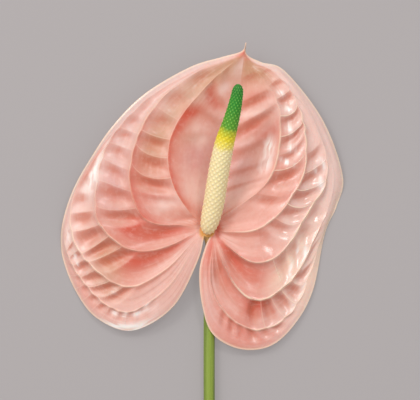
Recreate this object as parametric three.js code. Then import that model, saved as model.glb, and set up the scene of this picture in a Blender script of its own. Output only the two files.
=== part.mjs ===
// Anthurium, one cut flower lying on its back: a heart-shaped spathe with a raised net of
// veins, a spadix covered with florets, and a round stem with a plain cut end.
// Millimetres. +Y runs from the cut end to the tip, +Z is up, and z = 0 is what it lies on.
// The flower rests on three low points: the stem's cut end and one spot on each margin.

import * as THREE from 'three';

// Driving dimensions
const BLADE = 1;
const SEAT_GAP = 0.3;
const SEAT_SLACK = 0.05;
const STEM_LENGTH = 300;
const STEM_RADIUS = 2.6;
const STEM_SIDES = 16;
const SPADIX_COLUMNS = 34;
const SPADIX_ROWS = 58;
const FLORET_RELIEF = 0.26;

// The round seat where stem, spathe and spadix meet. It leans, so that it is higher
// towards the stem, and SEAT_NORMAL points from the stem's end into the spadix.
const SEAT = new THREE.Vector3(0.7, 1.8, 7.4);
const SEAT_RADIUS = 3;
const SEAT_LEAN = 0.7;
const SEAT_NORMAL = new THREE.Vector3(0, SEAT_LEAN, 1).normalize();
const SINUS_ANGLES = [260, 280];

// Each vein runs through stations 0 (seat) to 16 (tip of the cusp).
const TIP_STATION = 16;
const TIP = [18.4, 88.2, 11];
const RISE_STATIONS = [0, 2, 4, 6, 8, 10, 12, 14, 16];
const ROW_STEPS = [[1, 3], [5, 6.5], [13, 3], [TIP_STATION, 4]];
const COLUMNS_IN_BANDS = [3, 4, 4, 4, 3, 2];

// The veins seen from the front. angle is where a vein leaves the seat, path holds its
// x and y at stations 1, 2, 3 and so on, and rise its height at stations 2, 4 to 14.
const MIDRIB = {
  angle: 83,
  path: [[1.5, 6], [1.7, 8], [2.1, 9.7], [2.8, 12], [3.5, 15.2], [4.5, 19], [5.6, 24], [7, 29.6],
    [8.6, 36.4], [10.4, 43.7], [12.4, 52.2], [14.5, 61.2], [16.1, 70.8], [17, 77.3], [17.6, 83]],
  rise: [4.8, 4.2, 4, 4.2, 5, 6.8, 9.4],
};
const LEFT_VEINS = [
  {
    angle: 135,
    path: [[-2.8, 5.3], [-4.6, 7.1], [-6.7, 9], [-9, 12.1], [-11.5, 15.7], [-13.8, 19.8],
      [-15.6, 24.6], [-17, 30.6], [-17.3, 37.5], [-15.9, 45], [-12.2, 52.7], [-5.1, 62], [5, 72.5]],
    rise: [7.6, 10.4, 12, 13, 13.2, 12.4, 10.4],
  },
  {
    angle: 152,
    path: [[-6.7, 3.2], [-11.7, 4.1], [-18.4, 4.1], [-24.4, 5.1], [-29, 7.8], [-32, 12.7],
      [-34.1, 18.9], [-35, 26], [-33.9, 35.2], [-30.6, 46], [-25.3, 55.9], [-16.1, 66], [-1.4, 75.7]],
    rise: [10.2, 13, 14.4, 14.6, 13.6, 12, 10.2],
  },
  {
    angle: 178,
    path: [[-8, -1.2], [-15.2, -4.6], [-26.2, -7.5], [-35.4, -6.7], [-43, -2.1], [-48.1, 3.7],
      [-50.6, 11.3], [-50.1, 21.2], [-48.3, 33.1], [-43.9, 43.2], [-35.9, 53.4], [-23.5, 64.6],
      [-4.6, 75.4]],
    rise: [11.4, 13.2, 13.6, 12.4, 10.6, 10.5, 9.8],
  },
  {
    angle: 200,
    path: [[-8.5, -6.4], [-18.4, -15.9], [-32.2, -23.7], [-42.8, -22.3], [-52, -15], [-58.4, -7.4],
      [-62.2, 2.8], [-62.1, 13.3], [-58, 25.1], [-50.6, 36.8], [-40.5, 50.1], [-26.2, 64.2],
      [-6.2, 75.7]],
    rise: [11.2, 10.2, 7.8, 6.6, 9.2, 10, 9.6],
  },
  {
    angle: 216,
    path: [[-7.4, -9.2], [-17.5, -24.2], [-34, -35.7], [-46, -32.4], [-55.7, -22.8], [-62.3, -12.9],
      [-65.5, -1.8], [-63.7, 11], [-59.3, 23], [-51.8, 35.7], [-41.6, 49.9], [-27.1, 64.2],
      [-6.9, 76.1]],
    rise: [10.2, 7, 4.2, 5.6, 8.7, 9.8, 9.5],
  },
];
const LEFT_MARGIN = {
  angle: 238,
  path: [[-4.1, -12.9], [-15.6, -33.8], [-34, -44.4], [-50.1, -38.9], [-59.8, -26.9],
    [-65.8, -12.2], [-66.9, -0.9], [-64.9, 9.9], [-60.3, 22.1], [-52.9, 35], [-42.8, 49.7],
    [-28.1, 64.4], [-7.4, 76.6], [7.1, 81.2], [16.5, 84]],
  rise: [8, 3.6, 0.6, 4.8, 8.2, 9.6, 9.4],
};
const RIGHT_VEINS = [
  {
    angle: 42,
    path: [[4.4, 5.1], [6.2, 6.9], [8.7, 8.7], [12, 10.9], [15.6, 13.3], [19.8, 16.1],
      [24.2, 19.6], [28.3, 24.2], [31.5, 30.6], [33.7, 40.9], [33.9, 54.3], [31.3, 63.9],
      [25.3, 72.2]],
    rise: [7.7, 9.6, 10.6, 11.2, 11.6, 11.4, 9.8],
  },
  {
    angle: 22,
    path: [[6, 1.6], [9.2, 1.1], [13.8, 1], [18.9, 1.2], [23.9, 2.4], [28.8, 5.3], [33.6, 9.7],
      [38.2, 15.6], [42.6, 23.5], [45.9, 35.4], [44.6, 50.6], [39.1, 65.1], [29.9, 75.2]],
    rise: [10, 11.2, 11.4, 10.8, 9.8, 9.4, 9.2],
  },
  {
    angle: 355,
    path: [[6.9, -2.3], [11, -6.3], [16.1, -10.4], [21.2, -12.9], [26.7, -12.9], [32.2, -10.4],
      [37.5, -5.3], [42.3, 2.3], [47.6, 11.3], [55.2, 23.9], [54.5, 39.1], [46, 58.4],
      [35, 73.6]],
    rise: [11, 11.4, 10.6, 8.4, 5.6, 7.8, 8.8],
  },
  {
    angle: 334,
    path: [[4.8, -4.6], [7.4, -11.3], [10.6, -18.2], [14.9, -24.8], [20.7, -29.5], [27.8, -29.7],
      [35.7, -24.5], [43, -16.3], [51, 0], [56.8, 13.3], [58.6, 30.4], [48.8, 56.8],
      [35.6, 74.1]],
    rise: [11, 10.4, 8.6, 5.8, 3.4, 6.4, 8.6],
  },
  {
    angle: 318,
    path: [[3.2, -6.4], [2.4, -15.6], [3.2, -24.8], [6.9, -33.1], [14.7, -41.2], [25.3, -43.8],
      [35.9, -38.9], [44.4, -27.4], [53.4, -1.4], [58.8, 12.9], [61.3, 30.4], [51, 55.2],
      [36, 74.4]],
    rise: [10.6, 8.4, 5.8, 3.6, 2, 5.8, 8.4],
  },
];
const RIGHT_MARGIN = {
  angle: 300,
  path: [[-0.3, -6.4], [-2.9, -17.5], [-1.6, -32.7], [3.2, -46], [15.6, -52.9], [29.4, -51.7],
    [40.5, -42.1], [49.2, -26.2], [54.9, 0.5], [60.3, 12.9], [63, 27], [53.6, 52.7],
    [36.4, 74.8], [25.3, 79], [18.6, 82.6]],
  rise: [9.8, 7.4, 4.2, 2, 0.5, 5.2, 8.3],
};

// Near the cusp the veins run together: each one's share of the way to the margin.
const CUSP_SHARES = {
  14: [0.42, 0.7, 0.81, 0.89, 0.95],
  15: [0.25, 0.45, 0.62, 0.77, 0.9],
};

// Between two veins the blade sinks by trough, and between two cross veins by pocket more.
// Each cross vein is given by its stations on the inner and on the outer vein.
const LEFT_BANDS = [
  { trough: 0, pocket: 1, cross: [[5, 5.4], [7, 7.6], [9, 9.6], [10.6, 11.1], [11.6, 12.1],
    [12.6, 12.9], [13.5, 13.6]] },
  { trough: 0.8, pocket: 1.9, cross: [[4.4, 6.4], [6.2, 7.8], [7.6, 8.8], [8.65, 9.6],
    [9.8, 10.2], [10.95, 11.3], [12, 12.3], [13, 13.2]] },
  { trough: 1.4, pocket: 1.7, cross: [[4.3, 5.9], [5.9, 7.2], [7.1, 8.3], [8.1, 8.9], [8.9, 9.5],
    [9.5, 10.1], [10.2, 11], [11.2, 11.8], [12.2, 12.6], [13.2, 13.3]] },
  { trough: 1.2, pocket: 1.6, cross: [[2.9, 3.7], [4.1, 4.8], [5, 6], [6.2, 7], [7.15, 7.85],
    [7.8, 8.5], [8.6, 9.1], [9.4, 9.8], [10.5, 10.8], [12, 12.1]] },
  { trough: 0.5, pocket: 1.3, cross: [[2.9, 3.7], [3.5, 4.4], [4.15, 5], [5.2, 5.5], [5.95, 6],
    [6.5, 6.5], [7.1, 7], [8.4, 8.6]] },
  { trough: 0.2, pocket: 0.9, cross: [[2.2, 2.2], [2.9, 3], [3.6, 3.7], [4.2, 4.3], [4.8, 4.9],
    [5.4, 5.5], [6, 6.1], [6.6, 6.7], [7.4, 7.4]] },
];
const RIGHT_BANDS = [
  { trough: 0, pocket: 1.1, cross: [[5, 5.2], [7, 7.4], [8.8, 9.2], [10.4, 10.8], [11.5, 11.9],
    [12.2, 12.5], [13, 13.2], [13.7, 13.8]] },
  { trough: 0.8, pocket: 1.9, cross: [[5, 6.3], [6.6, 8], [7.9, 9.3], [8.85, 10.2], [9.6, 10.7],
    [10.3, 11.1], [11, 11.6], [11.8, 12.1], [12.5, 12.6], [13.2, 13.2]] },
  { trough: 1.1, pocket: 1.7, cross: [[3.8, 5.4], [5.4, 7.1], [6.6, 8.4], [7.8, 9.35], [8.7, 10.1],
    [9.4, 10.75], [10.1, 11.3], [11, 11.9], [12, 12.5], [12.9, 13]] },
  { trough: 1.2, pocket: 1.6, cross: [[4.4, 5.4], [5.75, 7], [6.8, 7.9], [7.7, 8.7], [8.5, 9.4],
    [9.3, 9.9], [10.1, 10.6], [11, 11.2], [12, 12.2]] },
  { trough: 0.6, pocket: 1.3, cross: [[4.5, 5], [5.65, 6.2], [6.85, 7.7], [7.5, 8.3], [8, 8.8],
    [8.6, 9.25], [9.2, 9.6], [9.8, 10], [10.5, 10.6]] },
  { trough: 0.2, pocket: 0.9, cross: [[4.1, 4.1], [4.8, 4.7], [5.3, 5.3], [5.8, 5.9], [6.3, 6.4],
    [6.9, 6.9], [7.5, 7.5], [8.1, 8.1], [8.6, 8.6], [9.2, 9.2]] },
];

// Rows of the mesh run further along the outer veins, as the cross veins do.
const LEFT_LEAD = [0, 0.2, 1.1, 1.8, 2.3, 2.4, 2.4];
const RIGHT_LEAD = [0, 0.3, 1.5, 2.9, 3.8, 4.3, 4.3];
const LEAD_GROWS = [0, 5.5];
const LEAD_FADES = [6, 15.8];

// The relief grows from the seat, fades towards the cusp and is flatter where a band is narrow.
const RELIEF_STARTS = [0.6, 3];
const RELIEF_ENDS = [13, 15];
const FULL_RELIEF_WIDTH = 8;
const WIDTH_STEP = 0.05;
const TROUGH_POWER = 0.9;
const POCKET_POWER = 0.8;

// The spadix: its bent axis from the seat to the tip, and its radius at shares of its length.
const SPADIX_AXIS = [[1.2, 3.6, 10.9], [3.4, 13, 14.7], [4.9, 22.3, 18.1], [6.8, 33.6, 22.3],
  [8.8, 42.8, 25.7], [10.9, 49.8, 28.4], [13, 57.7, 31.3], [14.4, 65, 34], [14.7, 68.3, 35.2]];
const SPADIX_SHARES = [0, 0.045, 0.1, 0.2, 0.34, 0.5, 0.64, 0.74, 0.86, 0.96, 1];
const SPADIX_RADII = [2.3, 3.7, 4.4, 4.8, 4.8, 4.7, 4.3, 3.7, 3.1, 2.5, 2.2];
const SPADIX_DOME = 0.955;
// The rows of florets lie further apart at the base by this share, and closer at the tip.
const FLORET_SPREAD = 0.1;
// Where the spadix is thinner than this radius, its florets are flatter too.
const FULL_FLORET_RADIUS = 2;

// The stem: the middle of its top, below the seat, and of its length down to the cut end.
const STEM_AXIS = [[0.8, 0, 5], [2.1, -3.6, 3.6], [2.3, -8, 3.3], [1.6, -18, 3.2],
  [1.5, -40, 3.2], [1.5, -80, 3.2], [2.4, -150, 3.1], [2.8, -225, 2.9]];
const STEM_CUT = [2.2, -STEM_LENGTH, STEM_RADIUS];
const STEM_STEPS = [0, 0.003, 0.006, 0.01, 0.014, 0.019, 0.026, 0.036, 0.05, 0.08, 0.14, 0.22,
  0.3, 0.4, 0.5, 0.6, 0.7, 0.8, 0.9, 1];

const UP = new THREE.Vector3(0, 0, 1);
const mix = THREE.MathUtils.lerp;
const ease = THREE.MathUtils.smoothstep;

// Smooth curve through values at rising knots, read at one place.
function through(knots, values, place) {
  const last = knots.length - 1;
  let k = 0;
  while (k < last - 1 && place > knots[k + 1]) {
    k += 1;
  }
  const slope = (i) => (values[i + 1] - values[i]) / (knots[i + 1] - knots[i]);
  const tangent = (i) => {
    if (i === 0 || i === last) {
      return slope(i === 0 ? 0 : last - 1);
    }
    const before = knots[i] - knots[i - 1];
    const after = knots[i + 1] - knots[i];
    return (slope(i - 1) * after + slope(i) * before) / (before + after);
  };
  const span = knots[k + 1] - knots[k];
  const u = (place - knots[k]) / span;
  const v = 1 - u;
  return v * v * (1 + 2 * u) * values[k] + u * v * v * span * tangent(k)
    + u * u * (1 + 2 * v) * values[k + 1] - u * u * v * span * tangent(k + 1);
}

// A point on the rim of the seat, at an angle seen from the front.
function seatRim(degrees) {
  const angle = THREE.MathUtils.degToRad(degrees);
  const dy = SEAT_RADIUS * Math.sin(angle);
  return [SEAT.x + SEAT_RADIUS * Math.cos(angle), SEAT.y + dy, SEAT.z - SEAT_LEAN * dy];
}

// The whole vein as knots: x and y at every station, and the height at every second one.
function fullVein(vein, index, margin) {
  const plan = [...vein.path];
  for (let station = plan.length + 1; station < TIP_STATION; station += 1) {
    const share = CUSP_SHARES[station][index];
    const inner = MIDRIB.path[station - 1];
    const outer = margin.path[station - 1];
    plan.push([mix(inner[0], outer[0], share), mix(inner[1], outer[1], share)]);
  }
  const [x, y, z] = seatRim(vein.angle);
  return {
    xs: [x, ...plan.map((point) => point[0]), TIP[0]],
    ys: [y, ...plan.map((point) => point[1]), TIP[1]],
    zs: [z, ...vein.rise, TIP[2]],
  };
}

const STATIONS = Array.from({ length: TIP_STATION + 1 }, (_, i) => i);

function veinPoint(vein, station) {
  return [
    through(STATIONS, vein.xs, station),
    through(STATIONS, vein.ys, station),
    through(RISE_STATIONS, vein.zs, station),
  ];
}

// The distance straight across from one vein to the next.
function bandWidth(inner, outer, station) {
  const here = veinPoint(inner, station);
  const ahead = veinPoint(inner, station + WIDTH_STEP);
  const over = veinPoint(outer, station);
  const run = [ahead[0] - here[0], ahead[1] - here[1]];
  const cross = run[0] * (over[1] - here[1]) - run[1] * (over[0] - here[0]);
  return Math.abs(cross) / Math.hypot(...run);
}

// How far the blade sinks below the line between two veins. Narrow bands sink less.
function relief(band, across, station, width) {
  const strength = ease(station, ...RELIEF_STARTS) * (1 - ease(station, ...RELIEF_ENDS))
    * Math.min(1, width / FULL_RELIEF_WIDTH);
  const arch = Math.sin(Math.PI * across);
  const places = [0, ...band.cross.map(([inner, outer]) => mix(inner, outer, across)), TIP_STATION];
  let k = 0;
  while (station > places[k + 1]) {
    k += 1;
  }
  const along = (station - places[k]) / (places[k + 1] - places[k]);
  const bump = Math.max(0, Math.sin(Math.PI * along)) ** POCKET_POWER;
  return strength * (band.trough * arch ** TROUGH_POWER + band.pocket * arch ** POCKET_POWER * bump);
}

// The station where a row of the mesh crosses the blade, given how far it leads there.
function leadStation(row, lead) {
  return row + lead * ease(row, ...LEAD_GROWS) * (1 - ease(row, ...LEAD_FADES));
}

// The rows of the mesh, closer together where the veins bend most.
function meshRows() {
  const rows = [0];
  ROW_STEPS.forEach(([end, steps]) => {
    const start = rows[rows.length - 1];
    const count = Math.round((end - start) * steps);
    for (let step = 1; step <= count; step += 1) {
      rows.push(mix(start, end, step / count));
    }
  });
  return rows;
}

// One half of the blade as columns, from the first vein beside the midrib to the margin.
function halfColumns(veins, margin, bands, leads) {
  const lines = [MIDRIB, ...veins, margin].map((vein, i) => fullVein(vein, i - 1, margin));
  const columns = [];
  bands.forEach((band, b) => {
    for (let step = 1; step <= COLUMNS_IN_BANDS[b]; step += 1) {
      const across = step / COLUMNS_IN_BANDS[b];
      columns.push((row) => {
        const station = leadStation(row, mix(leads[b], leads[b + 1], across));
        const inner = veinPoint(lines[b], station);
        const outer = veinPoint(lines[b + 1], station);
        const width = across < 1 ? bandWidth(lines[b], lines[b + 1], station) : 0;
        const sunk = relief(band, across, station, width);
        return new THREE.Vector3(
          mix(inner[0], outer[0], across),
          mix(inner[1], outer[1], across),
          mix(inner[2], outer[2], across) - sunk,
        );
      });
    }
  });
  return columns;
}

function closedGeometry(points, triangles) {
  const geometry = new THREE.BufferGeometry();
  geometry.setAttribute('position', new THREE.Float32BufferAttribute(
    points.flatMap((point) => [point.x, point.y, point.z]), 3));
  geometry.setIndex(triangles.flat());
  geometry.computeVertexNormals();
  return geometry;
}

// The blade: an upper and a lower face split into triangles alike, and the edge between them.
function spatheGeometry() {
  const midrib = fullVein(MIDRIB, 0, LEFT_MARGIN);
  const columns = [
    ...halfColumns(LEFT_VEINS, LEFT_MARGIN, LEFT_BANDS, LEFT_LEAD).reverse(),
    (station) => new THREE.Vector3(...veinPoint(midrib, station)),
    ...halfColumns(RIGHT_VEINS, RIGHT_MARGIN, RIGHT_BANDS, RIGHT_LEAD),
  ];
  const stops = meshRows().slice(0, -1);
  const rows = stops.length;
  const top = stops.flatMap((stop) => columns.map((column) => column(stop)));
  const count = columns.length;
  const tip = top.push(new THREE.Vector3(...TIP)) - 1;
  const middle = top.push(SEAT.clone()) - 1;
  const arch = SINUS_ANGLES.map((degrees) => top.push(new THREE.Vector3(...seatRim(degrees))) - 1);

  const faces = [];
  for (let row = 0; row < rows - 1; row += 1) {
    for (let c = 0; c < count - 1; c += 1) {
      const at = row * count + c;
      if (c < (count - 1) / 2) {
        faces.push([at, at + 1, at + count], [at + 1, at + count + 1, at + count]);
      } else {
        faces.push([at, at + 1, at + count + 1], [at, at + count + 1, at + count]);
      }
    }
  }
  const lastRow = (rows - 1) * count;
  for (let c = 0; c < count - 1; c += 1) {
    faces.push([lastRow + c, lastRow + c + 1, tip]);
    faces.push([c + 1, c, middle]);
  }
  faces.push([0, arch[0], middle], [arch[0], arch[1], middle], [arch[1], count - 1, middle]);

  const rim = [];
  for (let row = 0; row < rows; row += 1) {
    rim.push(row * count + count - 1);
  }
  rim.push(tip);
  for (let row = rows - 1; row >= 0; row -= 1) {
    rim.push(row * count);
  }
  rim.push(...arch);

  const under = top.length;
  const lower = top.map((point) => Math.max(0, point.z - BLADE));
  const points = [
    ...top.map((point, i) => new THREE.Vector3(point.x, point.y, lower[i] + BLADE)),
    ...top.map((point, i) => new THREE.Vector3(point.x, point.y, lower[i])),
  ];
  const triangles = [...faces, ...faces.map(([a, b, c]) => [under + a, under + c, under + b])];
  rim.forEach((a, i) => {
    const b = rim[(i + 1) % rim.length];
    triangles.push([b, a, under + a], [b, under + a, under + b]);
  });
  return closedGeometry(points, triangles);
}

// A ring of points round an axis, in the plane across it. reach gives each point's radius.
function ring(centre, direction, sides, reach) {
  const side = new THREE.Vector3().crossVectors(direction, UP).normalize();
  const over = new THREE.Vector3().crossVectors(side, direction);
  return Array.from({ length: sides }, (_, i) => {
    const angle = (2 * Math.PI * i) / sides;
    return centre.clone()
      .addScaledVector(side, reach(i) * Math.cos(angle))
      .addScaledVector(over, reach(i) * Math.sin(angle));
  });
}

// A closed body through rings of points, with a fan over each end. Each square between
// rings is cut along the diagonal that cut names.
function ringBody(rings, start, end, cut) {
  const sides = rings[0].length;
  const points = rings.flat();
  const first = points.push(start) - 1;
  const last = points.push(end) - 1;
  const triangles = [];
  for (let r = 0; r < rings.length - 1; r += 1) {
    for (let i = 0; i < sides; i += 1) {
      const a = r * sides + i;
      const b = r * sides + ((i + 1) % sides);
      const c = b + sides;
      const d = a + sides;
      if (cut(r, i)) {
        triangles.push([a, c, b], [a, d, c]);
      } else {
        triangles.push([a, d, b], [b, d, c]);
      }
    }
  }
  const end0 = (rings.length - 1) * sides;
  for (let i = 0; i < sides; i += 1) {
    const next = (i + 1) % sides;
    triangles.push([i, next, first], [end0 + next, end0 + i, last]);
  }
  return closedGeometry(points, triangles);
}

// Points and directions along a smooth axis that leaves the seat square to it.
function axisAt(points, fromSeat) {
  const offset = SEAT.clone().addScaledVector(SEAT_NORMAL, fromSeat);
  const axis = new THREE.CatmullRomCurve3(
    [offset, ...points.map((point) => new THREE.Vector3(...point))], false, 'centripetal');
  const square = SEAT_NORMAL.clone().multiplyScalar(Math.sign(fromSeat));
  return (share) => ({
    centre: axis.getPointAt(share),
    direction: share === 0 ? square : axis.getTangentAt(share),
  });
}

// The spadix: florets are the raised points of a staggered net all over it.
function spadixGeometry() {
  const axis = axisAt(SPADIX_AXIS, SEAT_GAP + SEAT_SLACK);
  const rings = [];
  for (let row = 0; row < SPADIX_ROWS; row += 1) {
    const even = row / SPADIX_ROWS;
    const share = even * (1 + FLORET_SPREAD * (1 - even));
    const { centre, direction } = axis(share);
    const past = Math.max(0, (share - SPADIX_DOME) / (1 - SPADIX_DOME));
    const radius = through(SPADIX_SHARES, SPADIX_RADII, share) * Math.sqrt(1 - past * past);
    const bump = FLORET_RELIEF * Math.min(1, radius / FULL_FLORET_RADIUS);
    rings.push(ring(centre, direction, SPADIX_COLUMNS,
      (i) => radius + ((i + row) % 2 === 0 ? bump : -bump)));
  }
  return ringBody(rings, axis(0).centre, axis(1).centre, (row, i) => (i + row) % 2 !== 0);
}

function stemGeometry() {
  const seatDepth = BLADE * SEAT_NORMAL.z;
  const axis = axisAt([...STEM_AXIS, STEM_CUT], -(seatDepth + SEAT_GAP + SEAT_SLACK));
  const rings = STEM_STEPS.map((share) => {
    const { centre, direction } = axis(share);
    return ring(centre, direction, STEM_SIDES, () => STEM_RADIUS);
  });
  return ringBody(rings, axis(0).centre, axis(1).centre, () => true);
}

// Turns every triangle the other way where a body came out inside out.
function facingOut(geometry) {
  const place = geometry.getAttribute('position');
  const index = geometry.getIndex();
  const [a, b, c] = [new THREE.Vector3(), new THREE.Vector3(), new THREE.Vector3()];
  let volume = 0;
  for (let i = 0; i < index.count; i += 3) {
    a.fromBufferAttribute(place, index.getX(i));
    b.fromBufferAttribute(place, index.getX(i + 1));
    c.fromBufferAttribute(place, index.getX(i + 2));
    volume += a.dot(b.cross(c));
  }
  if (volume < 0) {
    for (let i = 0; i < index.count; i += 3) {
      const kept = index.getX(i);
      index.setX(i, index.getX(i + 1));
      index.setX(i + 1, kept);
    }
    geometry.computeVertexNormals();
  }
  return geometry;
}

function piece(name, geometry, color, roughness) {
  const material = new THREE.MeshStandardMaterial({ color, roughness, metalness: 0 });
  const mesh = new THREE.Mesh(facingOut(geometry), material);
  mesh.name = name;
  return mesh;
}

const flower = new THREE.Group();
flower.add(piece('stem', stemGeometry(), 0x7f9a35, 0.5));
flower.add(piece('spathe', spatheGeometry(), 0xe9a596, 0.3));
flower.add(piece('spadix', spadixGeometry(), 0xe6d79c, 0.55));

// The origin is on the surface, under the middle of the whole flower.
const box = new THREE.Box3().setFromObject(flower);
const centre = box.getCenter(new THREE.Vector3());
flower.position.set(-centre.x, -centre.y, -box.min.z);

export default flower;
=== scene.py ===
# An anthurium, one cut flower lying on its back, seen from straight above: a glossy salmon
# spathe with raised veins and sunk pockets, a spadix covered with florets, and a green stem.
# The shapes are worked out in the flower's own millimetres and then put where the CAD has them.

import math

import bpy
import numpy as np
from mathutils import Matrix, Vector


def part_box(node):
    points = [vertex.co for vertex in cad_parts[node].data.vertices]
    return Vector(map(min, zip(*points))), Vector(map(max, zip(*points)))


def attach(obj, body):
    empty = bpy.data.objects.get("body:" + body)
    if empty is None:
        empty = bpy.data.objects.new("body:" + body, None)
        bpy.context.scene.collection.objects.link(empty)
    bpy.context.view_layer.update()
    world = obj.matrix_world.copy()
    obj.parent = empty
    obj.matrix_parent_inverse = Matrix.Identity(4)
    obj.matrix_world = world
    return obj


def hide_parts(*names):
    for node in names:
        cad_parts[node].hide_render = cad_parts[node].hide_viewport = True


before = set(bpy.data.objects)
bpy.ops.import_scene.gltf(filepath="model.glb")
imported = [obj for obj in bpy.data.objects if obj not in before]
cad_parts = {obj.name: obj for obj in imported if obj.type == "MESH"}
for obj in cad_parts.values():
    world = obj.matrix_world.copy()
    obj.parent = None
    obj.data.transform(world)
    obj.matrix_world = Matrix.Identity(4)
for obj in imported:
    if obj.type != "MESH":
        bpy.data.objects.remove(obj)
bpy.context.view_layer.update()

MM = 0.001
TINY = 1e-9

# Driving dimensions, the same as in the part's source
BLADE = 1.0
SEAT_GAP = 0.3
SEAT_SLACK = 0.05
STEM_LENGTH = 300.0
STEM_RADIUS = 2.6
SEAT = np.array([0.7, 1.8, 7.4])
SEAT_RADIUS = 3.0
SEAT_LEAN = 0.7
SEAT_NORMAL = np.array([0.0, SEAT_LEAN, 1.0]) / math.hypot(SEAT_LEAN, 1.0)

# The two halves of the blade
LEFT = -1
RIGHT = 1

# Each vein runs through stations 0 (seat) to 16 (tip of the cusp).
TIP_STATION = 16
TIP = [18.4, 88.2, 11.0]
STATIONS = np.arange(TIP_STATION + 1.0)
RISE_STATIONS = [0, 2, 4, 6, 8, 10, 12, 14, 16]

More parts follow.
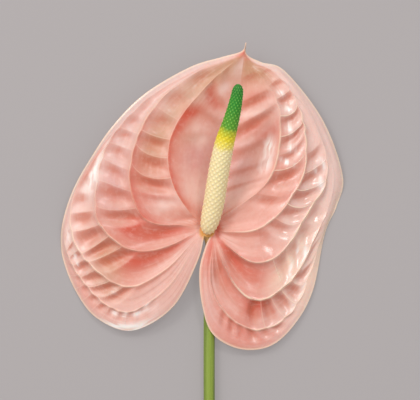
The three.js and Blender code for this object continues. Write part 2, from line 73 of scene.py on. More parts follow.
# The veins seen from the front. angle is where a vein leaves the seat, rise its height at
# stations 2, 4 to 14, and path its x and y at stations 1, 2, 3 and so on. The last one of
# each half is the margin.
MIDRIB = {"angle": 83, "rise": [4.8, 4.2, 4, 4.2, 5, 6.8, 9.4], "path": [
    [1.5, 6], [1.7, 8], [2.1, 9.7], [2.8, 12], [3.5, 15.2], [4.5, 19], [5.6, 24], [7, 29.6],
    [8.6, 36.4], [10.4, 43.7], [12.4, 52.2], [14.5, 61.2], [16.1, 70.8], [17, 77.3], [17.6, 83]]}
VEINS = {LEFT: [
    {"angle": 135, "rise": [7.6, 10.4, 12, 13, 13.2, 12.4, 10.4], "path": [
        [-2.8, 5.3], [-4.6, 7.1], [-6.7, 9], [-9, 12.1], [-11.5, 15.7], [-13.8, 19.8], [-15.6, 24.6],
        [-17, 30.6], [-17.3, 37.5], [-15.9, 45], [-12.2, 52.7], [-5.1, 62], [5, 72.5]]},
    {"angle": 152, "rise": [10.2, 13, 14.4, 14.6, 13.6, 12, 10.2], "path": [
        [-6.7, 3.2], [-11.7, 4.1], [-18.4, 4.1], [-24.4, 5.1], [-29, 7.8], [-32, 12.7], [-34.1, 18.9],
        [-35, 26], [-33.9, 35.2], [-30.6, 46], [-25.3, 55.9], [-16.1, 66], [-1.4, 75.7]]},
    {"angle": 178, "rise": [11.4, 13.2, 13.6, 12.4, 10.6, 10.5, 9.8], "path": [
        [-8, -1.2], [-15.2, -4.6], [-26.2, -7.5], [-35.4, -6.7], [-43, -2.1], [-48.1, 3.7],
        [-50.6, 11.3], [-50.1, 21.2], [-48.3, 33.1], [-43.9, 43.2], [-35.9, 53.4], [-23.5, 64.6],
        [-4.6, 75.4]]},
    {"angle": 200, "rise": [11.2, 10.2, 7.8, 6.6, 9.2, 10, 9.6], "path": [
        [-8.5, -6.4], [-18.4, -15.9], [-32.2, -23.7], [-42.8, -22.3], [-52, -15], [-58.4, -7.4],
        [-62.2, 2.8], [-62.1, 13.3], [-58, 25.1], [-50.6, 36.8], [-40.5, 50.1], [-26.2, 64.2],
        [-6.2, 75.7]]},
    {"angle": 216, "rise": [10.2, 7, 4.2, 5.6, 8.7, 9.8, 9.5], "path": [
        [-7.4, -9.2], [-17.5, -24.2], [-34, -35.7], [-46, -32.4], [-55.7, -22.8], [-62.3, -12.9],
        [-65.5, -1.8], [-63.7, 11], [-59.3, 23], [-51.8, 35.7], [-41.6, 49.9], [-27.1, 64.2],
        [-6.9, 76.1]]},
    {"angle": 238, "rise": [8, 3.6, 0.6, 4.8, 8.2, 9.6, 9.4], "path": [
        [-4.1, -12.9], [-15.6, -33.8], [-34, -44.4], [-50.1, -38.9], [-59.8, -26.9], [-65.8, -12.2],
        [-66.9, -0.9], [-64.9, 9.9], [-60.3, 22.1], [-52.9, 35], [-42.8, 49.7], [-28.1, 64.4],
        [-7.4, 76.6], [7.1, 81.2], [16.5, 84]]},
], RIGHT: [
    {"angle": 42, "rise": [7.7, 9.6, 10.6, 11.2, 11.6, 11.4, 9.8], "path": [
        [4.4, 5.1], [6.2, 6.9], [8.7, 8.7], [12, 10.9], [15.6, 13.3], [19.8, 16.1], [24.2, 19.6],
        [28.3, 24.2], [31.5, 30.6], [33.7, 40.9], [33.9, 54.3], [31.3, 63.9], [25.3, 72.2]]},
    {"angle": 22, "rise": [10, 11.2, 11.4, 10.8, 9.8, 9.4, 9.2], "path": [
        [6, 1.6], [9.2, 1.1], [13.8, 1], [18.9, 1.2], [23.9, 2.4], [28.8, 5.3], [33.6, 9.7],
        [38.2, 15.6], [42.6, 23.5], [45.9, 35.4], [44.6, 50.6], [39.1, 65.1], [29.9, 75.2]]},
    {"angle": 355, "rise": [11, 11.4, 10.6, 8.4, 5.6, 7.8, 8.8], "path": [
        [6.9, -2.3], [11, -6.3], [16.1, -10.4], [21.2, -12.9], [26.7, -12.9], [32.2, -10.4],
        [37.5, -5.3], [42.3, 2.3], [47.6, 11.3], [55.2, 23.9], [54.5, 39.1], [46, 58.4], [35, 73.6]]},
    {"angle": 334, "rise": [11, 10.4, 8.6, 5.8, 3.4, 6.4, 8.6], "path": [
        [4.8, -4.6], [7.4, -11.3], [10.6, -18.2], [14.9, -24.8], [20.7, -29.5], [27.8, -29.7],
        [35.7, -24.5], [43, -16.3], [51, 0], [56.8, 13.3], [58.6, 30.4], [48.8, 56.8], [35.6, 74.1]]},
    {"angle": 318, "rise": [10.6, 8.4, 5.8, 3.6, 2, 5.8, 8.4], "path": [
        [3.2, -6.4], [2.4, -15.6], [3.2, -24.8], [6.9, -33.1], [14.7, -41.2], [25.3, -43.8],
        [35.9, -38.9], [44.4, -27.4], [53.4, -1.4], [58.8, 12.9], [61.3, 30.4], [51, 55.2],
        [36, 74.4]]},
    {"angle": 300, "rise": [9.8, 7.4, 4.2, 2, 0.5, 5.2, 8.3], "path": [
        [-0.3, -6.4], [-2.9, -17.5], [-1.6, -32.7], [3.2, -46], [15.6, -52.9], [29.4, -51.7],
        [40.5, -42.1], [49.2, -26.2], [54.9, 0.5], [60.3, 12.9], [63, 27], [53.6, 52.7], [36.4, 74.8],
        [25.3, 79], [18.6, 82.6]]},
]}

# Near the cusp the veins run together: each one's share of the way to the margin.
CUSP_SHARES = {14: [0.42, 0.7, 0.81, 0.89, 0.95], 15: [0.25, 0.45, 0.62, 0.77, 0.9]}

# Between two veins the blade sinks by trough, and between two cross veins by pocket more.
# lean moves the deepest place across the band, and skew moves it up in each pocket. reach is
# how much of the band's width sinks, all of it if left out. pleats is how strong the band's
# pleats near the seat are. Relief fades out between the two stations of ends. Each cross vein
# is given by its stations on the inner and on the outer vein, and by how many stations it
# bows between them, if any. threads is how strongly each cross vein shows, and folds how deep
# each pocket is, from the one below the first cross vein on. What they leave out is 0.
BANDS = {LEFT: [
    {"trough": 0, "pocket": 1.3, "skew": 1.3, "lean": 1, "ends": [13, 15],
     "cross": [[8.6, 9.4], [9.7, 11.1], [10.7, 12.15], [11.5, 13.2], [12.9, 14]],
     "folds": [0, 0.1, 0.9, 1.2, 0.5]},
    {"trough": 0.8, "pocket": 2, "skew": 1.2, "lean": 0.85, "ends": [13, 15],
     "cross": [[4, 6.2], [5.4, 7.2], [7.25, 8.8, -0.35], [8.65, 9.6, -0.12], [9.8, 10.2, -0.05],
               [10.95, 11.3], [12, 12.3], [13, 13.2]],
     "threads": [0, 0, 0.2, 0.2, 0.25, 0.1],
     "folds": [0.2, 0.2, 1.1, 1, 1, 0.8, 0.8, 0.6]},
    {"trough": 1.4, "pocket": 1.6, "skew": 1.2, "lean": 0.75, "pleats": 0.2, "ends": [12, 14],
     "cross": [[4.3, 5.9, -0.1], [5.9, 7.2, -0.1], [7.1, 8.3, 0.2], [8.4, 9.2], [9.3, 9.9],
               [10, 10.6], [10.6, 11.3], [11.4, 12], [12.3, 12.7]],
     "threads": [0, 0.15, 0.15, 0.1, 0.1, 0.1],
     "folds": [0.5, 1.1, 1, 0.7, 0.7, 0.7, 0.6, 0.4, 0.2]},
    {"trough": 1.2, "pocket": 2, "skew": 0.95, "lean": 0.7, "pleats": 0.3, "ends": [9.5, 11.5],
     "cross": [[3.4, 4.5], [4.35, 5.3], [5.25, 5.8], [6.15, 6.85], [7, 7.65], [7.8, 8.5], [8.6, 9.1]],
     "threads": [0, 0.2, 0.3, 0.2, 0.1],
     "folds": [0.4, 0.9, 1.1, 1.1, 0.6, 0.3, 0.15]},
    {"trough": 0.5, "pocket": 1.8, "skew": 1.2, "lean": 0.7, "pleats": 0.35, "ends": [8, 10],
     "cross": [[2.9, 3.7], [3.5, 4.4], [4.15, 4.85], [4.85, 5.3], [5.5, 5.85], [6.05, 6.2],
               [6.5, 6.5], [7.1, 7], [8.4, 8.6]],
     "threads": [0, 0.2, 0.4, 0.2, 0.2, 0.3, 0.3, 0.2],
     "folds": [0.1, 0.8, 1.1, 0.9, 0.9, 0.7, 0.5, 0.3]},
    {"trough": 0.2, "pocket": 1.1, "skew": 1, "lean": 0.65, "reach": 0.6, "pleats": 0.3,
     "ends": [8, 10],
     "cross": [[2.3, 2.35], [2.6, 2.65], [2.9, 2.95], [3.2, 3.25], [3.5, 3.55], [3.85, 3.9],
               [4.2, 4.3], [4.6, 4.7], [5, 5.1], [5.4, 5.5], [5.9, 6], [6.5, 6.6], [7.4, 7.4]],
     "threads": [0, 0.1, 0.1, 0.15, 0.15, 0.15, 0.15, 0.15, 0.15, 0.15, 0.1, 0.1],
     "folds": [0, 0.4, 0.8, 1, 1, 1, 1, 1, 1, 0.8, 0.7, 0.5, 0.2]},
], RIGHT: [
    {"trough": 0, "pocket": 1.4, "skew": 1.3, "lean": 1, "pleats": 0.6, "ends": [13, 15],
     "cross": [[4.4, 7.4], [6, 8.7], [7.6, 9.8], [9.2, 10.8], [10.65, 11.65], [11.9, 12.4],
               [13.2, 13.5]],
     "folds": [0, 0.35, 0.4, 0.6, 1.4, 0.9, 0.5]},
    {"trough": 0.8, "pocket": 1.9, "skew": 1.7, "lean": 0.9, "pleats": 0.3, "ends": [13, 14.5],
     "cross": [[5, 6.3], [6.8, 8.4], [8.85, 10.2, -0.15], [9.6, 10.75, -0.1], [10.3, 11.1, -0.1],
               [11, 11.6, -0.1], [11.8, 12.1], [12.5, 12.6], [13.2, 13.2]],
     "threads": [0, 0, 0.7, 0.1, 0.7, 0.8, 0.3, 0.1],
     "folds": [0.1, 0.5, 1.1, 0.5, 1, 1, 0.8, 0.5, 0.2]},
    {"trough": 1.1, "pocket": 1.4, "skew": 1.4, "lean": 0.85, "pleats": 0.5, "ends": [10.8, 12.2],
     "cross": [[3.8, 5.4], [5.4, 7.1], [6.6, 8.4, -0.1], [7.8, 9.35, -0.15], [8.7, 10.1, -0.1],
               [9.4, 10.75], [10.1, 11.3], [11, 11.9]],
     "threads": [0, 0, 0.2, 0.9, 0.9, 0.5, 0.1],
     "folds": [0.1, 0.5, 0.9, 1, 1, 0.9, 0.6, 0.15]},
    {"trough": 1.6, "pocket": 1.8, "skew": 1, "lean": 0.7, "pleats": 0.7, "ends": [9.5, 11.5],
     "cross": [[5.75, 7, 0.1], [6.8, 7.9], [7.7, 8.7], [8.5, 9.4], [9.3, 9.9], [10.1, 10.6],
               [11, 11.2]],
     "threads": [0.7, 0.2, 0.1],
     "folds": [0.9, 0.9, 0.8, 0.6, 0.4, 0.3, 0.1]},
    {"trough": 0.9, "pocket": 1.9, "skew": 1, "lean": 0.6, "pleats": 1, "ends": [8.4, 10.2],
     "cross": [[4.9, 5.3], [5.65, 6.2], [6.25, 7.05], [6.85, 7.7], [7.5, 8.3], [8, 8.8], [8.6, 9.25],
               [9.2, 9.6], [9.8, 10]],
     "threads": [0, 0.2, 0.2, 0.4, 0.3, 0.1],
     "folds": [0.8, 1, 1.1, 1.1, 1, 0.8, 0.5, 0.3, 0.1]},
    {"trough": 0.3, "pocket": 1.5, "skew": 1, "lean": 0.65, "reach": 0.65, "pleats": 1,
     "ends": [6.5, 8.8],
     "cross": [[4.1, 4.1], [4.5, 4.5], [4.9, 4.9], [5.3, 5.3], [5.8, 5.9], [6.3, 6.4], [6.9, 6.9],
               [7.5, 7.5], [8.1, 8.1], [8.6, 8.6]],
     "folds": [0.2, 0.6, 0.9, 0.6, 0.9, 0.6, 0.8, 0.5, 0.3, 0.1]},
]}

# Rows of the mesh run further along the outer veins, as the cross veins do.
LEADS = {LEFT: [0, 0.4, 1.6, 2.5, 3.3, 3.8, 3.85], RIGHT: [0, 0.5, 1.7, 3, 4, 4.7, 4.7]}
LEAD_GROWS = [0, 5.5]
LEAD_FADES = [6, 15.8]

RELIEF_STARTS = [0.6, 3]
FULL_RELIEF_WIDTH = 8.0
PLEATS = 2.5
PLEAT_DEPTH = 0.5
PLEATS_START = [0.8, 2.5]
PLEATS_END = [3.5, 6.5]
WIDTH_STEP = 0.05
LEAST_WIDTH = 0.3
TROUGH_POWER = 0.9
ARCH_POWER = 0.8
BUMP_POWER = 1.5

# The fine mesh: how many rows to a station up to each end, and how many columns in each
# band. Beside a vein the columns lie at set distances, closer where the band is narrow.
# The underside has only every second column.
ROW_STEPS = [[1, 10], [5, 28], [13, 20], [TIP_STATION, 12]]
COLUMNS_IN_BANDS = [18, 16, 16, 20, 18, 12]
UNDER_COLUMNS = 2
NEAR_VEIN = [0.0, 0.25, 0.5, 0.95]
FULL_NEAR_WIDTH = 6.0
TINY_WIDTH = 0.001

# Raised cords along the veins, midrib first. Each fades out at a station of its own, and the
# vein swings out by its scallop beside each pocket on its inner side.
RIDGE_HEIGHT = 0.3
RIDGE_HALF_WIDTH = 0.45
RIDGE_GROWS = [0.2, 1.2]
RIDGE_WIDTHS = [2.0, 6.0]
CORD_FADE = 2.5
CORD_ENDS = {
    LEFT: [15, 13.5, 13, 12, 9.5, 8, TIP_STATION],
    RIGHT: [15, 12.5, 12.8, 11.8, 10.5, 10, TIP_STATION],
}
SCALLOPS = {LEFT: [0, 0.15, 0.25, 0.5, 0.45, 0.4, 0], RIGHT: [0, 0.3, 0.7, 0.4, 0.4, 0.5, 0]}

# The blade thins to its rounded edge, and its cords stand out on the underside too, by
# UNDER_RIDGE of their height. The rim of the sinus runs round the seat at SINUS_ANGLES.
EDGE_BLADE = 0.62
EDGE_TAPER = 2.5
EDGE_BULGE = 0.22
SINUS_ANGLES = [250, 260, 270, 280, 290]
UNDER_RIDGE = 0.8

# What the edge and the fans at seat and tip have in place of vein coordinates. The rows below
# station PLAIN_NORMALS and the last PLAIN_TIP_ROWS before the tip keep Blender's own normals.
PLAIN_VEINS = [0.5, 0.5]
PLAIN_SPAN = [50.0, 50.0]
PLAIN_NORMALS = 1.0
PLAIN_TIP_ROWS = 3


def mix(a, b, share):
    return a + (b - a) * share


def ease(place, start, end):
    share = np.clip((place - start) / (end - start), 0, 1)
    return share * share * (3 - 2 * share)


def window(place, grows, fades):
    """Grows from 0 to 1 over one range and fades back to 0 over a later one."""
    return ease(place, *grows) * (1 - ease(place, *fades))


def unit(vectors):
    return vectors / np.maximum(TINY, np.linalg.norm(vectors, axis=-1))[..., None]


def bent(u, first, leaving, last, arriving):
    """A place at share u on the curve between two knots with these slopes."""
    v = 1 - u
    return v * v * ((1 + 2 * u) * first + u * leaving) + u * u * ((1 + 2 * v) * last - v * arriving)


def through(knots, values, places):
    """Smooth curve through values at rising knots, read at an array of places."""
    knots = np.asarray(knots, float)
    values = np.asarray(values, float)
    steps = np.diff(knots)
    slopes = np.diff(values) / steps
    tangents = np.empty_like(values)
    tangents[0] = slopes[0]
    tangents[-1] = slopes[-1]
    weights = steps[:-1] + steps[1:]
    tangents[1:-1] = (slopes[:-1] * steps[1:] + slopes[1:] * steps[:-1]) / weights
    k = np.clip(np.searchsorted(knots, places) - 1, 0, len(steps) - 1)
    return bent((places - knots[k]) / steps[k], values[k], steps[k] * tangents[k],
                values[k + 1], steps[k] * tangents[k + 1])


def seat_rim(degrees):
    """A point on the rim of the seat, at an angle seen from the front."""
    angle = math.radians(degrees)
    dy = SEAT_RADIUS * math.sin(angle)
    return [SEAT[0] + SEAT_RADIUS * math.cos(angle), SEAT[1] + dy, SEAT[2] - SEAT_LEAN * dy]


def full_vein(vein, index, margin):
    """The whole vein as knots: its plan at every station, its height at every second one."""
    plan = list(vein["path"])
    for station in range(len(plan) + 1, TIP_STATION):
        inner, outer = [np.array(line["path"][station - 1]) for line in (MIDRIB, margin)]
        plan.append(mix(inner, outer, CUSP_SHARES[station][index]))
    x, y, z = seat_rim(vein["angle"])
    return {"plan": np.array([[x, y], *plan, TIP[:2]]), "rise": [z, *vein["rise"], TIP[2]]}


def vein_point(vein, station):
    x, y = vein["plan"].T
    return np.stack([through(STATIONS, x, station), through(STATIONS, y, station),
                     through(RISE_STATIONS, vein["rise"], station)], axis=-1)


def band_width(inner, outer, station):
    """The distance straight across from one vein to the next."""
    here = vein_point(inner, station)
    run = vein_point(inner, station + WIDTH_STEP) - here
    reach = vein_point(outer, station) - here
    cross = run[:, 0] * reach[:, 1] - run[:, 1] * reach[:, 0]
    return np.abs(cross) / np.hypot(run[:, 0], run[:, 1])


def padded(values, count):
    return [*values, *[0] * (count - len(values))]


def filled(band):
    """A band with what its table leaves out: full reach, no pleats, and zeros."""
    count = len(band["cross"])
    return {"reach": 1, "pleats": 0, **band,
            "cross": [padded(cross, 3) for cross in band["cross"]],
            "threads": padded(band.get("threads", []), count),
            "folds": padded(band["folds"], count + 1)}


def cross_places(band, across, station):
    """Which pocket a place is in, how far along it, and how many stations it is long."""
    ends = np.array([[0, 0, 0], *band["cross"], [TIP_STATION, TIP_STATION, 0]], float)
    share = across[:, None]
    parabola = 4 * share * (1 - share)
    edges = mix(ends[:, 0], ends[:, 1], share) + ends[:, 2] * parabola
    pocket = np.sum(station[:, None] > edges[:, 1:-1], axis=-1)
    start = np.take_along_axis(edges, pocket[:, None], -1)[:, 0]
    end = np.take_along_axis(edges, pocket[:, None] + 1, -1)[:, 0]
    return pocket, (station - start) / (end - start), end - start


def relief(band, across, station, width):
    """How far the blade sinks below the line between two veins. Narrow bands sink less."""
    strength = window(station, RELIEF_STARTS, band["ends"])
    strength *= np.minimum(1, width / FULL_RELIEF_WIDTH)
    arch = np.maximum(0, np.sin(np.pi * np.minimum(1, across / band["reach"]) ** band["lean"]))
    pocket, along, length = cross_places(band, across, station)
    fold = band["pocket"] * np.array(band["folds"])[pocket]
    bump = np.maximum(0, np.sin(np.pi * along ** band["skew"])) ** BUMP_POWER
    deep = strength * fold * arch ** ARCH_POWER * bump
    pleats = PLEAT_DEPTH * band["pleats"] * np.sin(np.pi * PLEATS * across) ** 2
    pleats = pleats * window(station, PLEATS_START, PLEATS_END)
    sunk = strength * band["trough"] * arch ** TROUGH_POWER + deep + pleats
    return sunk, deep, pocket + along, length


def cord_left(station, end):
    """How much of a vein's cord is left at a station."""
    return 1 - ease(station, end - CORD_FADE, end)


def ridges(across, width, station, fade):
    """The height of the cords along the two veins of a band. Crowded veins have none."""
    near = np.minimum(across, 1 - across) * width
    height = RIDGE_HEIGHT * fade * ease(station, *RIDGE_GROWS)
    return height * ease(width, *RIDGE_WIDTHS) * np.exp(-(near / RIDGE_HALF_WIDTH) ** 2)


def scalloped(vein, station):
    """Points of a vein that swings outwards beside each pocket on its inner side."""
    place = vein_point(vein, station)
    run = unit((vein_point(vein, station + WIDTH_STEP) - place)[:, :2])
    phase = np.interp(station, vein["knots"], range(len(vein["knots"])))
    fold = np.array([*vein["folds"], 0])[phase.astype(int)]
    swing = vein["scallop"] * fold * np.abs(np.sin(np.pi * phase))
    swing = swing * window(station, RELIEF_STARTS, vein["ends"])
    return place + swing[:, None] * np.stack([run[:, 1], -run[:, 0], 0 * phase], axis=-1)


def column_across(width, step, count):
    """Columns of the mesh crowd beside the veins, at set distances from them."""
    reach = np.maximum(width, TINY_WIDTH)
    scale = np.minimum(1, reach / FULL_NEAR_WIDTH)
    last = len(NEAR_VEIN) - 1
    if step <= last:
        return NEAR_VEIN[step] * scale / reach
    if step >= count - last:
        return 1 - NEAR_VEIN[count - step] * scale / reach
    inside = NEAR_VEIN[last] * scale / reach
    return mix(inside, 1 - inside, (step - last) / (count - 2 * last))


def mesh_rows():
    """Rows of the mesh, closer together where the veins bend most. The tip is left out."""
    rows = [0.0]
    for end, steps in ROW_STEPS:
        start = rows[-1]
        count = round((end - start) * steps)
        rows += [mix(start, end, step / count) for step in range(1, count + 1)]
    return np.array(rows[:-1])


def vein_lines(half, bands):
    """The veins of one half from the midrib out, each with the pockets on its inner side."""
    lines = []
    for index, vein in enumerate([MIDRIB, *VEINS[half]]):
        inner = bands[max(0, index - 1)]
        lines.append({
            **full_vein(vein, index - 1, VEINS[half][-1]),
            "knots": [0, *[cross[1] for cross in inner["cross"]], TIP_STATION],
            "folds": inner["folds"], "ends": inner["ends"],
            "scallop": half * SCALLOPS[half][index],
        })
    return lines


def vein_slopes(lines, station):
    """The slope across each vein, the mean of the slopes of the bands on its two sides."""
    heights = [vein_point(line, station)[:, 2] for line in lines]
    slopes = [(heights[b + 1] - heights[b])
              / np.maximum(LEAST_WIDTH, band_width(lines[b], lines[b + 1], station))
              for b in range(len(lines) - 1)]
    means = [(before + after) / 2 for before, after in zip(slopes[:-1], slopes[1:])]
    return [slopes[0], *means, slopes[-1]]


def crease_filling(first, last, rise, width, across):
    """What turns the straight line across a band into a curve with given slopes at its ends."""
    back = 1 - across
    return ((first * width - rise) * across * back ** 2
            - (last * width - rise) * across ** 2 * back)


def band_column(half, lines, b, band, step, rows):
    """One column of the mesh of a band: its places, with their vein coordinates."""
    count = COLUMNS_IN_BANDS[b]
    lead = mix(*LEADS[half][b:b + 2], step / count)
    station = rows + lead * window(rows, LEAD_GROWS, LEAD_FADES)
    width = band_width(*lines[b:b + 2], station)
    across = np.clip(column_across(width, step, count), 0, 1)
    sunk, deep, phase, length = relief(band, across, station, width)
    cords = [cord_left(station, end) for end in CORD_ENDS[half][b:b + 2]]
    fade = np.where(across < 0.5, *cords)
    inner, outer = [scalloped(line, station) for line in lines[b:b + 2]]
    slopes = vein_slopes(lines, station)[b:b + 2]
    filling = crease_filling(*slopes, outer[:, 2] - inner[:, 2], width, across)
    place = mix(inner, outer, across[:, None])
    place[:, 2] += (1 - mix(*cords, across)) * filling - sunk

    def between(at):
        return mix(*[vein_point(line, at) for line in lines[b:b + 2]], across[:, None])

    speed = np.linalg.norm(between(station + WIDTH_STEP) - between(station), axis=1) / WIDTH_STEP
    return {"place": place, "ridge": ridges(across, width, station, fade), "sunk": sunk,
            "deep": deep, "across": across, "phase": phase, "length": length * speed,
            "width": width, "station": station, "fade": fade}


def half_blade(half, bands):
    """One half of the blade as bands. Each is a grid of places with their vein coordinates."""
    lines = vein_lines(half, bands)
    rows = mesh_rows()
    made = []
    for b, band in enumerate(bands):
        columns = [band_column(half, lines, b, band, step, rows)
                   for step in range(COLUMNS_IN_BANDS[b] + 1)]
        made.append({key: np.stack([column[key] for column in columns], axis=1)
                     for key in columns[0]})
    return made


def margin_distances(bands):
    """Adds to each band how far its places are from the margin, straight across."""
    outside = np.zeros(len(bands[0]["station"]))
    for band in reversed(bands):
        band["margin"] = outside[:, None] + (1 - band["across"]) * band["width"]
        outside = outside + band["width"][:, 0]


# How strongly the main veins show, midrib first. From FIRST_CORD of that they rise to it over
# CORD_RISE stations, and reach it at their start. RIDGE_SHARES says how much of its height a
# cord has where its vein doesn't show and where it shows in full.
CORDS = {LEFT: [0, 0.15, 0.28, 0.4, 0.5, 0.4, 0], RIGHT: [0, 0.6, 0.8, 0.9, 0.9, 0.6, 0]}
CORD_STARTS = {LEFT: [4, 4, 3, 3, 3, 3, 3], RIGHT: [4, 9, 5, 4.6, 4.8, 5, 3]}
CORD_RISE = 2.5
FIRST_CORD = 0.18
RIDGE_SHARES = [0.35, 0.8]

# The blade is waxier on its right half and along its margins.
GLOSS = {
    LEFT: [0.15, 0.1, 0.15, 0.3, 0.6, 0.8, 0.9],
    RIGHT: [0.2, 0.35, 0.9, 0.9, 0.8, 0.7, 0.7],
}
GLOSS_GROWS = [3.0, 6.0]
GLOSS_FADES = [11.5, 13.0]

# It is paler towards the margin, over these distances and from these stations on.
PALE_DISTANCES = [4.0, 24.0]
PALE = {LEFT: [0.5, 0.75], RIGHT: [0.15, 1]}
PALE_GROWS = [4.5, 8.0]
CUSP_PALE_NUMBERS = [1.3, 2.6]
CUSP_STARTS = [11.0, 13.0]

# Painted shade: the bands nearest to the midrib are darkened beside their outer vein.
VEIN_SHADE_STRIPS = {LEFT: [1, 0.7, 0.4, 0, 0, 0], RIGHT: [0, 0.35, 0.2, 0, 0, 0]}
VEIN_SHADE_REACH = 2.6
VEIN_SHADE_GROWS = [2.0, 5.0]
VEIN_SHADE_FADES = [10.0, 12.5]

